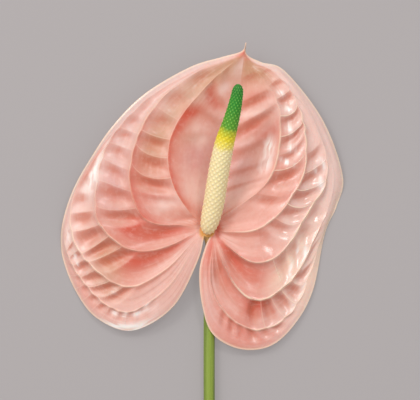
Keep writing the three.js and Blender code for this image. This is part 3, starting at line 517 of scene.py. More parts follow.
# Soft patches of each colour, some of them painted light and shade: number of veins out from
# the midrib, station, how far the patch reaches each way, and how strong it is
PATCHES = {
    "tan": {LEFT: [
        [0.5, 14, 1.2, 1.3, 0.9], [1.5, 12.8, 0.6, 2, 1], [1.5, 10, 0.5, 2.2, 0.9],
        [4.4, 4.3, 0.5, 0.8, 0.6], [3.5, 4.6, 0.5, 0.9, 1], [2.5, 7, 0.5, 2.5, 0.4],
        [0.6, 9.9, 0.2, 0.4, 0.6],
    ], RIGHT: [
        # Painted shade: the first two, at the cusp, darken the right side of the midrib's ridge.
        [0.5, 13.8, 0.8, 1.2, 1], [1.6, 13.8, 0.7, 1.3, 1], [2.6, 9.4, 0.4, 0.6, 0.3],
        [3.6, 7.4, 0.4, 1.2, 0.3],
    ]},
    "mauve": {LEFT: [
        [0.5, 8.8, 0.3, 1.6, 0.8], [2.5, 8.5, 0.5, 3, 1], [1.5, 6.2, 0.3, 0.6, 0.3],
    ], RIGHT: [
        [0.3, 8.5, 0.3, 2.2, 0.7],
    ]},
    "lilac": {LEFT: [
        [4.7, 11.5, 2, 3.2, 1], [2.6, 10, 0.5, 2, 0.3], [5, 9, 0.8, 1.4, 0.5],
    ], RIGHT: [
        [5.6, 11.5, 1.4, 2.6, 0.9],
    ]},
    # Cream on the right lobe; the patch at 5.4 veins out, station 9, is painted light that lifts its
    # outer slope, turned from the lamps.
    "cream": {LEFT: [], RIGHT: [[3.6, 7.2, 0.5, 1.6, 0.9], [5.4, 9, 0.8, 1.6, 0.9]]},
    "pale": {LEFT: [
        # Painted highlights: the patches at 1.45, 0.45 and 3.35 veins out, stations 5.2, 12.5 and
        # 9.2. Painted light: the one at station 14, on the left side of the midrib's ridge.
        [1.45, 5.2, 0.35, 0.7, 0.8], [0.45, 12.5, 0.15, 0.3, 0.8], [3.35, 9.2, 0.3, 0.9, 1],
        [0.5, 5.6, 0.5, 1.8, 0.8], [4.6, 6.6, 0.4, 0.5, 0.5], [0.2, 14, 0.5, 0.9, 0.7],
        [0.6, 10.5, 0.12, 0.25, 0.6], [0.45, 9.8, 0.12, 0.35, 0.6],
    ], RIGHT: [
        [0.5, 6, 0.5, 2, 0.6], [3.45, 5.3, 0.2, 0.6, 0.5], [0.5, 4, 0.4, 1.6, 0.6],
        # Painted highlight: the narrow streak at 0.8 veins out, station 9.6, beside the first vein.
        # Painted light: the patch at 5.5 veins out, station 9, on the outer slope turned from the
        # lamps.
        [0.5, 11.25, 0.4, 0.2, 0.7], [0.8, 9.6, 0.07, 0.9, 0.5], [5.5, 9, 0.6, 1.5, 0.8],
        [2.4, 6.8, 0.5, 2, 0.6], [2.5, 2, 0.4, 1, 0.5], [4.6, 2.6, 0.3, 1.6, 0.7],
        [5.5, 3.4, 0.3, 1.6, 0.7], [2.5, 8.2, 0.5, 1.2, 0.4], [1.5, 10.5, 0.5, 1.2, 0.3],
    ]},
    # Partly the blade's own coral flush, as at the cusp's base at station 15.15, partly painted
    # shade: the chain from 0.84 to 0.4 veins out near station 12 and the patches beside the first
    # vein darken folds.
    "flush_and_shade": {LEFT: [
        [2.6, 4.5, 0.3, 0.8, 0.3], [0.84, 12.45, 0.1, 0.22, 0.7], [0.7, 12.2, 0.1, 0.22, 0.7],
        [0.55, 11.95, 0.1, 0.22, 0.7], [0.4, 11.7, 0.1, 0.22, 0.7], [0.85, 11.4, 0.2, 0.35, 0.9],
        [0.9, 10.7, 0.12, 0.6, 0.5], [2.3, 3, 0.4, 1.8, 1], [2.35, 5.1, 0.35, 0.6, 0.9],
        [3.15, 2.2, 0.25, 1.5, 0.8], [3.3, 3.6, 0.3, 0.8, 0.5], [3.5, 3.5, 0.4, 1.6, 0.3],
        [1.6, 7, 0.5, 1.6, 0.3], [3, 15.15, 4, 0.6, 1], [5.4, 4.5, 0.5, 1.6, 0.3],
    ], RIGHT: [
        [4.1, 5.6, 0.15, 0.5, 0.5], [0.6, 10.5, 0.4, 0.35, 0.7], [1.3, 1.2, 0.8, 0.7, 0.7],
        [3.3, 2.3, 0.35, 2, 1], [3.5, 4.9, 0.5, 1.2, 0.5], [4.25, 3, 0.3, 2.5, 0.4],
        [5.3, 0.9, 0.7, 1.2, 0.8], [1.9, 0.5, 1.5, 0.6, 0.8], [4.3, 5.3, 0.3, 0.3, 0.4],
        [4.3, 5.6, 0.4, 0.8, 0.5], [5.4, 5.1, 0.6, 1.8, 0.6], [1.7, 8.9, 0.4, 0.35, 0.4],
        [2.4, 5.3, 0.3, 0.8, 0.2], [0.5, 12, 0.4, 0.3, 0.4], [3, 15.15, 4, 0.6, 1],
    ]},
    # Painted highlights: white spots and streaks where the lamps show on the glossy blade, and the
    # white glint along the lower left margin.
    "painted_highlight": {LEFT: [
        [3.2, 8.7, 0.25, 0.7, 1], [5.87, 3.15, 0.22, 0.55, 1], [5.2, 3.22, 0.16, 0.12, 1],
        [5.18, 2.85, 0.16, 0.12, 1], [5.14, 2.6, 0.14, 0.1, 1], [5.2, 3.6, 0.15, 0.12, 0.9],
        [5.5, 2.4, 0.1, 0.12, 0.8], [5.92, 3.1, 0.15, 0.5, 0.8], [4.3, 3.87, 0.12, 0.12, 0.5],
        [4.5, 6.95, 0.3, 0.3, 0.7], [4.5, 5.98, 0.2, 0.12, 0.8], [4.65, 5.7, 0.2, 0.12, 0.7],
    ], RIGHT: [
        [0.8, 9.9, 0.08, 0.35, 1], [0.82, 9.1, 0.08, 0.5, 1], [1.38, 12.03, 0.15, 0.14, 1],
        [1.4, 11.35, 0.16, 0.14, 1], [1.36, 10.7, 0.13, 0.16, 1], [1.45, 10.1, 0.14, 0.16, 1],
        [1.35, 9.5, 0.22, 0.1, 1], [2.74, 10.4, 0.15, 0.16, 1], [2.6, 9.95, 0.2, 0.08, 0.8],
        [2.82, 9.8, 0.14, 0.12, 0.9], [3.6, 7.9, 0.22, 0.14, 1], [3.72, 7.4, 0.2, 0.16, 1],
        [3.83, 8.35, 0.14, 0.14, 1], [4.85, 7.95, 0.1, 0.2, 0.8], [4.88, 7.45, 0.1, 0.15, 0.7],
    ]},
}

# Painted shade darkens folds where they are deep or turn from the light, and painted light
# pales their side towards it. LEES says how strongly the painted shade shows, at every half
# number of veins out. On the left this falls to LATE_LEES towards the cusp.
LIGHT_SIDE = np.array([-0.35, 0.94])
LEE_SLOPES = [0.0, 0.34]
SUNNY_SLOPES = [0.05, 0.45]
DEEP_FOLDS = [0.2, 1.3]
LEE_SHARES = [0.7, 0.6]
LATE_LEES = {LEFT: 0.6, RIGHT: 1}
LEES_FALL = [8.0, 11.0]
LEES = {
    LEFT: [0.6, 1, 0.7, 1.1, 0.3, 1.2, 0.4, 1.8, 0.7, 1.9, 0.8, 1.3, 0.6],
    RIGHT: [0.9, 1.1, 0.6, 1, 1.1, 1, 0.3, 0.8, 0.5, 1.5, 0.7, 1.3, 0.6],
}


def painted(patches, number, station):
    """How strongly a list of patches colours each place."""
    shade = np.zeros_like(station)
    for out, middle, wide, long, strength in patches:
        shade += strength * np.exp(-((number - out) / wide) ** 2
                                   - ((station - middle) / long) ** 2)
    return shade


def paint(band, index, half, threads):
    """Adds to a band what its material shows: veins, gloss, flushed and pale places."""
    number = index + band["across"]
    station = band["station"]
    nearest = np.round(number).astype(int)
    line = np.clip(np.round(band["phase"]).astype(int) - 1, 0, len(threads) - 1)
    start = np.array(CORD_STARTS[half])[nearest]
    band["number"] = number
    band["cord"] = np.array(CORDS[half])[nearest] * band["fade"]
    band["cord"] *= mix(FIRST_CORD, 1, ease(station, start - CORD_RISE, start))
    band["thread"] = np.array(threads)[line]
    band["ridge"] = band["ridge"] * mix(*RIDGE_SHARES, band["cord"])
    band["gloss"] = np.interp(number, range(len(GLOSS[half])), GLOSS[half])
    band["gloss"] *= window(station, GLOSS_GROWS, GLOSS_FADES)
    band["lees"] = np.interp(2 * number, range(len(LEES[half])), LEES[half])
    band["lees"] *= mix(1, LATE_LEES[half], ease(station, *LEES_FALL))

    # Painted shade beside the outer vein.
    strip = VEIN_SHADE_STRIPS[half][index] * np.exp(-(1 - band["across"]) * band["width"] / VEIN_SHADE_REACH)
    outward = 1 - ease(band["margin"], *PALE_DISTANCES)
    outward *= mix(*PALE[half], ease(station, *PALE_GROWS))
    outward *= mix(1, ease(number, *CUSP_PALE_NUMBERS), ease(station, *CUSP_STARTS))
    everywhere = {"flush_and_shade": strip * window(station, VEIN_SHADE_GROWS, VEIN_SHADE_FADES), "pale": outward}
    for name, patches in PATCHES.items():
        shade = painted(patches[half], number, station) + everywhere.get(name, 0)
        band[name] = np.clip(shade, 0, 1)


def blade_strips():
    """The bands of both halves from the left margin to the right one, with their paint."""
    strips = []
    for half in (LEFT, RIGHT):
        bands = [filled(band) for band in BANDS[half]]
        made = half_blade(half, bands)
        margin_distances(made)
        for index, band in enumerate(made):
            paint(band, index, half, bands[index]["threads"])
        if half == LEFT:
            made = [{key: value[:, ::-1] for key, value in band.items()} for band in made[::-1]]
        strips += made
    return strips


def joined(strips, key):
    """One value for each vertex of the grid: the strips side by side, shared columns once."""
    parts = [strip[key][:, :-1] for strip in strips[:-1]] + [strips[-1][key]]
    return np.concatenate(parts, axis=1)


def corner_pairs(strips, first, second):
    """Two values for the four corners of each square of the grid, read inside its strip."""
    pairs = []
    for strip in strips:
        both = np.stack([strip[first], strip[second]], axis=-1)
        corners = [both[:-1, :-1], both[:-1, 1:], both[1:, 1:], both[1:, :-1]]
        pairs.append(np.stack(corners, axis=2))
    return np.concatenate(pairs, axis=1).reshape(-1, 4, 2)


def add_object(name, data):
    made = bpy.data.objects.new(name, data)
    bpy.context.scene.collection.objects.link(made)
    return made


def new_piece(name, points, faces, shift):
    """A smooth mesh object in metres from points in the flower's millimetres."""
    mesh = bpy.data.meshes.new(name)
    mesh.from_pydata(((points + shift) * MM).tolist(), [], faces)
    mesh.shade_smooth()
    mesh.update()
    return add_object(name, mesh)


def add_number(piece, name, values):
    """A number for each vertex, which the material reads."""
    attribute = piece.data.attributes.new(name, "FLOAT", "POINT")
    attribute.data.foreach_set("value", np.asarray(values, np.float32))


def add_pairs(piece, name, pairs):
    """Two numbers for each corner of each face, as a UV map."""
    layer = piece.data.uv_layers.new(name=name, do_init=False)
    layer.uv.foreach_set("vector", np.asarray(pairs, np.float32).ravel())


def face_layout(rows, count):
    """The faces of one side of the blade, and its rim: the grid, the tip, the seat, the sinus."""
    tip = rows * count
    middle = tip + 1
    arch = [middle + 1 + i for i in range(len(SINUS_ANGLES))]
    at = np.arange(tip - count).reshape(rows - 1, count)[:, :-1]
    squares = np.stack([at, at + 1, at + count + 1, at + count], axis=-1).reshape(-1, 4).tolist()
    last = tip - count
    fans = [[last + c, last + c + 1, tip] for c in range(count - 1)]
    fans += [[c + 1, c, middle] for c in range(count - 1)]
    arc = [0, *arch, count - 1]
    fans += [[a, b, middle] for a, b in zip(arc[:-1], arc[1:])]
    rim = [row * count + count - 1 for row in range(rows)] + [tip]
    rim += [row * count for row in range(rows - 1, -1, -1)] + arch
    return squares, fans, rim


def grid_normals(grid):
    """The way that each place of the grid of points faces."""
    normal = unit(np.cross(np.gradient(grid, axis=1), np.gradient(grid, axis=0)))
    return normal * np.sign(normal[..., 2:])


def fold_shades(strips):
    """Painted shade and light: how far each place turns from the light or lies deep in a fold, and
    how far it faces it.
    """
    folds = np.dstack([joined(strips, "place")[..., :2], -joined(strips, "sunk")])
    facing = grid_normals(folds)[..., :2] @ LIGHT_SIDE
    painted_shade = LEE_SHARES[0] * ease(-facing, *LEE_SLOPES)
    painted_shade += LEE_SHARES[1] * ease(joined(strips, "deep"), *DEEP_FOLDS)
    return np.clip(painted_shade * joined(strips, "lees"), 0, 1), ease(facing, *SUNNY_SLOPES)


def blade_side(strips, side):
    """One side of the blade, 1 the upper and -1 the lower: points, faces, rim and numbers."""
    grid = joined(strips, "place")
    rows, count = grid.shape[:2]
    extra = np.array([TIP, SEAT, *[seat_rim(angle) for angle in SINUS_ANGLES]])

    def whole(values, at_extra=0):
        return np.concatenate([values.ravel(), np.broadcast_to(at_extra, len(extra))])

    base = np.concatenate([grid.reshape(-1, 3), extra])
    cords = whole(joined(strips, "ridge"))
    inward = whole(joined(strips, "margin"), padded([0, SEAT_RADIUS], len(extra)))
    height = np.maximum(0, base[:, 2] - BLADE)
    if side > 0:
        height = height + mix(EDGE_BLADE, BLADE, ease(inward, 0, EDGE_TAPER)) + cords
    else:
        height = np.maximum(0, height - UNDER_RIDGE * cords)
    points = np.column_stack([base[:, :2], height])

    # Zero normals are left to Blender.
    normals = side * grid_normals(points[:rows * count].reshape(rows, count, 3))
    normals[joined(strips, "station") < PLAIN_NORMALS] = 0
    normals[-PLAIN_TIP_ROWS:] = 0
    painted_shade, painted_light = fold_shades(strips)
    numbers = {key: whole(joined(strips, key))
               for key in [*PATCHES, "margin", "station", "cord", "thread", "gloss"]}
    squares, fans, rim = face_layout(rows, count)
    return {
        "points": points, "squares": squares, "fans": fans, "rim": rim,
        "normals": np.concatenate([normals.reshape(-1, 3), np.zeros((len(extra), 3))]),
        "veins": corner_pairs(strips, "number", "phase"),
        "spans": corner_pairs(strips, "width", "length"),
        "numbers": {**numbers, "painted_shade": whole(painted_shade), "painted_light": whole(painted_light),
                    "under": np.full(len(points), (1 - side) / 2)},
    }


def blade_edge(upper, lower):
    """Points of the rounded edge between the two sides, out beyond both rims."""
    over = upper["points"][upper["rim"]]
    under = lower["points"][lower["rim"]]
    run = unit((np.roll(over, -1, axis=0) - np.roll(over, 1, axis=0))[:, :2])
    outward = np.column_stack([run[:, 1], -run[:, 0]])
    return np.column_stack([over[:, :2] + EDGE_BULGE * outward, (over[:, 2] + under[:, 2]) / 2])


def face_pairs(upper, lower, key, plain, edges):
    """Corner values for every face: the squares' own, and plain ones for fans and edge."""
    def plain_corners(count):
        return np.tile(plain, (count, 1))

    return np.concatenate([
        upper[key].reshape(-1, 2), plain_corners(3 * len(upper["fans"])),
        lower[key][:, ::-1].reshape(-1, 2), plain_corners(3 * len(lower["fans"])),
        plain_corners(4 * edges),
    ])


def spathe_mesh():
    """Points, faces and vein coordinates of the spathe: both sides, and the edge between."""
    strips = blade_strips()
    thinned = [{key: value[:, ::UNDER_COLUMNS] for key, value in strip.items()}
               for strip in strips]
    upper = blade_side(strips, 1)
    lower = blade_side(thinned, -1)
    edge = blade_edge(upper, lower)

    below = len(upper["points"])
    outside = below + len(lower["points"])
    faces = upper["squares"] + upper["fans"]
    faces += [[below + corner for corner in reversed(face)]
              for face in lower["squares"] + lower["fans"]]
    total = len(edge)
    edge_faces = []
    for i, a in enumerate(upper["rim"]):
        j = (i + 1) % total
        c, d = below + lower["rim"][i], below + lower["rim"][j]
        edge_faces.append([a, outside + i, outside + j, upper["rim"][j]])
        edge_faces.append([outside + i, c, d, outside + j])

    def on_edge(key):
        values = upper["numbers"][key][upper["rim"]]
        return np.full(total, 0.5) if key == "under" else values

    return {
        "points": np.concatenate([upper["points"], lower["points"], edge]),
        "faces": faces + edge_faces,
        "veins": face_pairs(upper, lower, "veins", PLAIN_VEINS, len(edge_faces)),
        "spans": face_pairs(upper, lower, "spans", PLAIN_SPAN, len(edge_faces)),
        "numbers": {key: np.concatenate([values, lower["numbers"][key], on_edge(key)])
                    for key, values in upper["numbers"].items()},
        "normals": np.concatenate([upper["normals"], lower["normals"], np.zeros((total, 3))]),
    }


# The spadix: its bent axis from the seat to the tip, and its radius at shares of its length.
# Its last point lies beyond the last ring as if it were SPADIX_TIP_LENGTH long.
SPADIX_AXIS = [[1.2, 3.6, 10.9], [3.4, 13, 14.7], [4.9, 22.3, 18.1], [6.8, 33.6, 22.3],
               [8.8, 42.8, 25.7], [10.9, 49.8, 28.4], [13, 57.7, 31.3], [14.4, 65, 34],
               [14.7, 68.3, 35.2]]
SPADIX_SHARES = [0, 0.045, 0.1, 0.2, 0.34, 0.5, 0.64, 0.74, 0.86, 0.96, 1]
SPADIX_RADII = [2.3, 3.7, 4.4, 4.8, 4.8, 4.7, 4.3, 3.7, 3.1, 2.5, 2.2]
SPADIX_DOME = 0.955
SPADIX_TIP_LENGTH = 40.0
FLORET_SPREAD = 0.1
FULL_FLORET_RADIUS = 2.0
FLORET_FILES = 22
FLORET_RINGS = 58
STEPS_ROUND_FLORET = 8
STEPS_ALONG_FLORET = 7
FLORET_SINK = 0.25
FLORET_DOME = 0.2
FLORET_NUB = 0.22
NUB_WIDTH = 0.22

# The stem: the middle of its top, below the seat, and of its length down to the cut end.
STEM_AXIS = [[0.8, 0, 5], [2.1, -3.6, 3.6], [2.3, -8, 3.3], [1.6, -18, 3.2], [1.5, -40, 3.2],
             [1.5, -80, 3.2], [2.4, -150, 3.1], [2.8, -225, 2.9]]
STEM_CUT = [2.2, -STEM_LENGTH, STEM_RADIUS]
STEM_SIDES = 48
STEM_TOP_RINGS = 60
STEM_RINGS = 260
STEM_TOP_SHARE = 0.06
CURVE_SAMPLES = 4000
CUT_BEVEL = 0.25


def running(steps):
    """How far a row of steps has come, from 0 before the first one on."""
    return np.concatenate([[0], np.cumsum(steps)])


def smooth_axis(points, from_seat):
    """A centripetal curve that leaves the seat square to it, read at shares of its length."""
    knots = np.array([SEAT + SEAT_NORMAL * from_seat, *points], float)
    knots = np.concatenate([[2 * knots[0] - knots[1]], knots, [2 * knots[-1] - knots[-2]]])
    spans = np.sqrt(np.linalg.norm(np.diff(knots, axis=0), axis=1))
    places = running(spans)
    at = np.linspace(places[1], places[-2], CURVE_SAMPLES)
    k = np.clip(np.searchsorted(places, at) - 1, 1, len(knots) - 3)

    def tangent(i):
        """The slope of the curve at its knot i, per span k."""
        a, b, c = knots[i - 1], knots[i], knots[i + 1]
        first, second = spans[i - 1][:, None], spans[i][:, None]
        slope = (b - a) / first - (c - a) / (first + second) + (c - b) / second
        return slope * spans[k][:, None]

    u = ((at - places[k]) / spans[k])[:, None]
    line = bent(u, knots[k], tangent(k), knots[k + 1], tangent(k + 1))
    length = running(np.linalg.norm(np.diff(line, axis=0), axis=1))

    def read(shares):
        """The middle of the axis and its direction at each share."""
        wanted = np.asarray(shares) * length[-1]
        centre, way = [np.column_stack([np.interp(wanted, length, value) for value in grid.T])
                       for grid in (line, np.gradient(line, length, axis=0))]
        way[np.asarray(shares) == 0] = SEAT_NORMAL * math.copysign(1, from_seat)
        return centre, unit(way)

    return read


def tube_points(centre, way, radius, angles):
    """Rings of points round an axis, each in the plane across it. radius is (rings, sides)."""
    side = unit(np.cross(way, [0, 0, 1.0]))
    over = np.cross(side, way)
    flat = radius * np.cos(angles)
    high = radius * np.sin(angles)
    return centre[:, None] + flat[..., None] * side[:, None] + high[..., None] * over[:, None]


def tube_faces(rings, sides):
    """Squares between rings of points, and a fan over each end, whose points come last."""
    faces = []
    for ring in range(rings - 1):
        for i in range(sides):
            a = ring * sides + i
            b = ring * sides + (i + 1) % sides
            faces.append([a, b, b + sides, a + sides])
    first = rings * sides
    top = (rings - 1) * sides
    for i in range(sides):
        following = (i + 1) % sides
        faces.append([following, i, first])
        faces.append([top + i, top + following, first + 1])
    return faces


def spadix_mesh():
    """The spadix, with a domed floret and its small nub at each crossing of the spirals."""
    sides = FLORET_FILES * STEPS_ROUND_FLORET
    rings = FLORET_RINGS * STEPS_ALONG_FLORET
    even = np.arange(rings) / rings
    shares = even * (1 + FLORET_SPREAD * (1 - even))
    centre, way = smooth_axis(SPADIX_AXIS, SEAT_GAP + SEAT_SLACK)(shares)
    past = np.maximum(0, (shares - SPADIX_DOME) / (1 - SPADIX_DOME))
    radius = through(SPADIX_SHARES, SPADIX_RADII, shares) * np.sqrt(1 - past * past)
    angles = 2 * np.pi * np.arange(sides) / sides

    file, ring = np.meshgrid(np.arange(sides) / STEPS_ROUND_FLORET,
                             np.arange(rings) / STEPS_ALONG_FLORET)
    left, right = (file + ring) / 2, (file - ring) / 2
    off_left, off_right = left - np.round(left), right - np.round(right)
    dome = np.sqrt(np.cos(np.pi * off_left) * np.cos(np.pi * off_right))
    nub = np.exp(-(off_left ** 2 + off_right ** 2) / NUB_WIDTH ** 2)
    size = np.minimum(1, radius / FULL_FLORET_RADIUS)[:, None]
    raised = size * (FLORET_DOME * dome + FLORET_NUB * nub - FLORET_SINK)
    places = tube_points(centre, way, radius[:, None] + raised, angles)
    tip = centre[-1] + way[-1] * (1 - shares[-1]) * SPADIX_TIP_LENGTH

    def to_ends(grid, first, last):
        return np.concatenate([np.broadcast_to(grid, file.shape).ravel(), [first, last]])

    return {
        "points": np.concatenate([places.reshape(-1, 3), centre[:1], [tip]]),
        "faces": tube_faces(rings, sides),
        "numbers": {
            "share": to_ends(shares[:, None], 0, 1), "dome": to_ends(dome, 0, 1),
            "nub": to_ends(nub, 0, 1), "left": to_ends(np.round(left), 0, 0),
            "right": to_ends(np.round(right), 0, 0),
        },
    }


def stem_mesh():
    """The round stem, its first and last ring doubled for a small bevel at each end."""
    seat_depth = BLADE * SEAT_NORMAL[2]
    read = smooth_axis([*STEM_AXIS, STEM_CUT], -(seat_depth + SEAT_GAP + SEAT_SLACK))
    shares = np.concatenate([
        [0], np.linspace(0, STEM_TOP_SHARE, STEM_TOP_RINGS, endpoint=False),
        np.linspace(STEM_TOP_SHARE, 1, STEM_RINGS), [1],
    ])
    centre, way = read(shares)
    radius = np.full((len(shares), STEM_SIDES), STEM_RADIUS)
    for outer, inner, towards in ((0, 1, 1), (-1, -2, -1)):
        radius[outer] -= CUT_BEVEL
        centre[inner] += towards * way[inner] * CUT_BEVEL
    places = tube_points(centre, way, radius, 2 * np.pi * np.arange(STEM_SIDES) / STEM_SIDES)
    return {
        "points": np.concatenate([places.reshape(-1, 3), centre[:1], centre[-1:]]),
        "faces": tube_faces(len(shares), STEM_SIDES),
        "numbers": {"share": np.concatenate([np.repeat(shares, STEM_SIDES), [0, 1]])},
    }


class Nodes:
    """A material's nodes, with short calls for the ones that these materials use."""

    def __init__(self, name):
        self.material = bpy.data.materials.new(name)
        self.material.use_nodes = True
        self.tree = self.material.node_tree
        self.shader = self.tree.nodes["Principled BSDF"]

    def put(self, socket, value):
        if isinstance(value, bpy.types.NodeSocket):
            self.tree.links.new(value, socket)
        else:
            socket.default_value = value

    def node(self, kind, inputs=None, **settings):
        """The outputs of a new node with these settings and inputs."""
        made = self.tree.nodes.new("ShaderNode" + kind)
        for name, value in settings.items():
            setattr(made, name, value)
        for socket, value in (inputs or {}).items():
            self.put(made.inputs[socket], value)
        return made.outputs

    def number(self, name):
        return self.node("Attribute", attribute_name=name)["Fac"]

    def pair(self, name):
        split = self.node("SeparateXYZ", {0: self.node("UVMap", uv_map=name)["UV"]})
        return split["X"], split["Y"]

    def vector(self, x, y):
        return self.node("CombineXYZ", {"X": x, "Y": y})[0]

    def calc(self, operation, *values):
        return self.node("Math", dict(enumerate(values)), operation=operation)[0]

    def times(self, first, *others):
        for other in others:
            first = self.calc("MULTIPLY", first, other)
        return first

    def span(self, *values):
        """A smooth step of the first value from low to high, to 0 and 1 or other ends."""
        return self.node("MapRange", dict(enumerate(values)), interpolation_type="SMOOTHSTEP")[0]

    def blend(self, share, first, second):
        inputs = {"Factor": share, "A": first, "B": second}
        return self.node("Mix", inputs, data_type="RGBA")["Result"]

    def place(self):
        return self.node("TexCoord")["Object"]

    def noise(self, scale, detail=2.0, place=None):
        inputs = {"Vector": place or self.place(), "Scale": scale, "Detail": detail}
        return self.node("TexNoise", inputs)["Fac"]

    def net(self, scale):
        """Distance from the nearest thread of a fine net."""
        inputs = {"Vector": self.place(), "Scale": scale}
        return self.node("TexVoronoi", inputs, feature="DISTANCE_TO_EDGE")["Distance"]

    def bump(self, value, height, strength, below=None):
        """A bump where the value is high, of a height in millimetres, on top of the one below."""
        inputs = {"Strength": strength, "Distance": height * MM, "Height": value}
        if below:
            inputs["Normal"] = below
        return self.node("Bump", inputs)["Normal"]

    def set(self, **values):
        for name, value in values.items():
            self.put(self.shader.inputs[name.replace("_", " ")], value)


def colour(red, green, blue):
    """A colour as seen on screen, from 0 to 255, as the shader's linear one."""
    def linear(level):
        level /= 255
        return level / 12.92 if level <= 0.04045 else ((level + 0.055) / 1.055) ** 2.4
    return (linear(red), linear(green), linear(blue), 1.0)


SALMON = colour(224, 156, 139)
CORAL = colour(206, 90, 68)
SHADE = colour(200, 104, 74)
PALE_PINK = colour(235, 200, 189)
CREAM = colour(250, 216, 194)
LILAC = colour(208, 178, 171)
PAINTED_LIGHT_PINK = colour(220, 182, 168)
TAN = colour(190, 138, 105)
PAINTED_LIGHT_SAND = colour(212, 172, 146)
MAUVE = colour(206, 148, 142)
PAINTED_HIGHLIGHT_WHITE = colour(253, 242, 236)
VEIN_CREAM = colour(252, 222, 196)
EDGE_CREAM = colour(238, 214, 188)
UNDERSIDE = colour(240, 194, 176)
AMBER = colour(226, 160, 62)

# Noises on the spathe, with their scale and detail. Streaks, and the streaks that break up
# the painted highlights, are drawn out along the veins, and have scales across and along and
# a detail. Bumps have a height in millimetres and a strength.
CLOUDS = [38.0, 3.0]
MOTTLE = [420.0, 4.0]
VEIN_WEAR = [90.0, 3.0]
WAVES = [160.0, 2.0]
NET_SCALE = 600.0
STREAKS = [8.0, 0.8, 4.0]
HIGHLIGHT_STREAKING = [0.55, 1.5, 1.0]
BUMPS = {"net": [0.03, 0.4], "waves": [0.6, 0.2], "cross vein": [0.22, 0.8]}

# Where each marking of the spathe shows: the range of the value that drives it and, if they
# aren't 0 and 1, how strong the marking is at the two ends of the range
MARKS = {
    "main vein": [0.75, 0.1], "wide band": [1.5, 5], "worn vein": [0.35, 0.6, 0.45, 1],
    "cross vein": [0.4, 0.1], "cloud": [0.35, 0.7, 0, 0.25],
    "hair vein": [0.35, 0.05], "near seat": [4.5, 2, 0, 0.3], "broken": [0.4, 0.6],
    "dark streak": [0.3, 0.5, 0.1, 0], "pale streak": [0.5, 0.7, 0, 0.14],
    "dark mottle": [0.5, 0.3, 0, 0.08], "pale mottle": [0.5, 0.7, 0, 0.12],
    "edge": [1, 0, 0, 0.6], "highlight_streaks": [0.4, 0.54, 0.25, 1], "seat": [0.25, 0, 0, 0.9],
    "net": [0, 0.15], "rough": [0, 1, 0.55, 0.18], "rough cloud": [0.3, 0.7, -0.03, 0.03],
}
PAINTED_SHADE_STRENGTH = 0.66
PAINTED_LIGHT_STRENGTH = 0.4
UNDER_STRENGTH = 0.5
HAIR_VEINS = 4.0


def spathe_material():
    n = Nodes("spathe_waxy_salmon")
    number, phase = n.pair("veins")
    width, length = n.pair("spans")
    station = n.number("station")

    def mark(name, value):
        return n.span(value, *MARKS[name])

    def from_vein(value, reach):
        """The distance from the nearest vein, which lies where value is whole."""
        off = n.calc("ABSOLUTE", n.calc("SUBTRACT", n.calc("FRACT", value), 0.5))
        return n.times(n.calc("SUBTRACT", 0.5, off), reach)

    def along_veins(value, across, along, detail):
        return n.noise(1.0, detail, n.vector(n.times(value, across), n.times(station, along)))

    main_line = n.times(mark("main vein", from_vein(number, width)), mark("wide band", width),
                        n.number("cord"), mark("worn vein", n.noise(*VEIN_WEAR)))
    cross_line = n.times(mark("cross vein", from_vein(phase, length)), n.number("thread"))
    hair = from_vein(n.times(number, HAIR_VEINS), n.times(width, 1 / HAIR_VEINS))
    cloud = n.noise(*CLOUDS)
    mottle = n.noise(*MOTTLE)
    streak = along_veins(number, *STREAKS)
    highlight_streaks = along_veins(n.times(n.calc("FRACT", number), width), *HIGHLIGHT_STREAKING)
    # The painted light's tone: sand where the blade is tan, pink elsewhere.
    painted_light_tone = n.blend(n.number("tan"), PAINTED_LIGHT_PINK, PAINTED_LIGHT_SAND)
    body = SALMON
    for share, shade in [
            (mark("cloud", cloud), PALE_PINK), (n.number("tan"), TAN), (n.number("mauve"), MAUVE),
            (n.number("pale"), PALE_PINK), (n.number("lilac"), LILAC),
            (n.number("cream"), CREAM), (n.number("flush_and_shade"), CORAL),
            # Painted shade on folds that are deep or turn from the light, painted light on slopes
            # facing it.
            (n.times(n.number("painted_shade"), PAINTED_SHADE_STRENGTH), SHADE),
            (n.times(n.number("painted_light"), PAINTED_LIGHT_STRENGTH), painted_light_tone),
            (n.times(mark("hair vein", hair), mark("near seat", station), mark("broken", streak)),
             SHADE),
            (mark("dark streak", streak), CORAL), (mark("pale streak", streak), PALE_PINK),
            (mark("dark mottle", mottle), SHADE), (mark("pale mottle", mottle), PALE_PINK),
            (n.calc("MAXIMUM", main_line, cross_line), VEIN_CREAM),
            (mark("edge", n.number("margin")), EDGE_CREAM),
            # Painted highlights, broken into streaks along the veins.
            (n.times(n.number("painted_highlight"), mark("highlight_streaks", highlight_streaks)), PAINTED_HIGHLIGHT_WHITE),
            (n.times(n.number("under"), UNDER_STRENGTH), UNDERSIDE),
            (mark("seat", station), AMBER)]:
        body = n.blend(share, body, shade)

    fine = n.bump(mark("net", n.net(NET_SCALE)), *BUMPS["net"])
    wavy = n.bump(n.noise(*WAVES), *BUMPS["waves"], fine)
    corded = n.bump(cross_line, *BUMPS["cross vein"], wavy)
    rough = n.calc("ADD", mark("rough", n.number("gloss")), mark("rough cloud", cloud))
    n.set(Base_Color=body, Roughness=rough, Normal=corded, Coat_Weight=0.15,
          Coat_Roughness=0.15, Subsurface_Weight=0.15, Subsurface_Scale=1.5 * MM,
          Subsurface_Radius=(1.0, 0.45, 0.3), IOR=1.5)
    return n.material


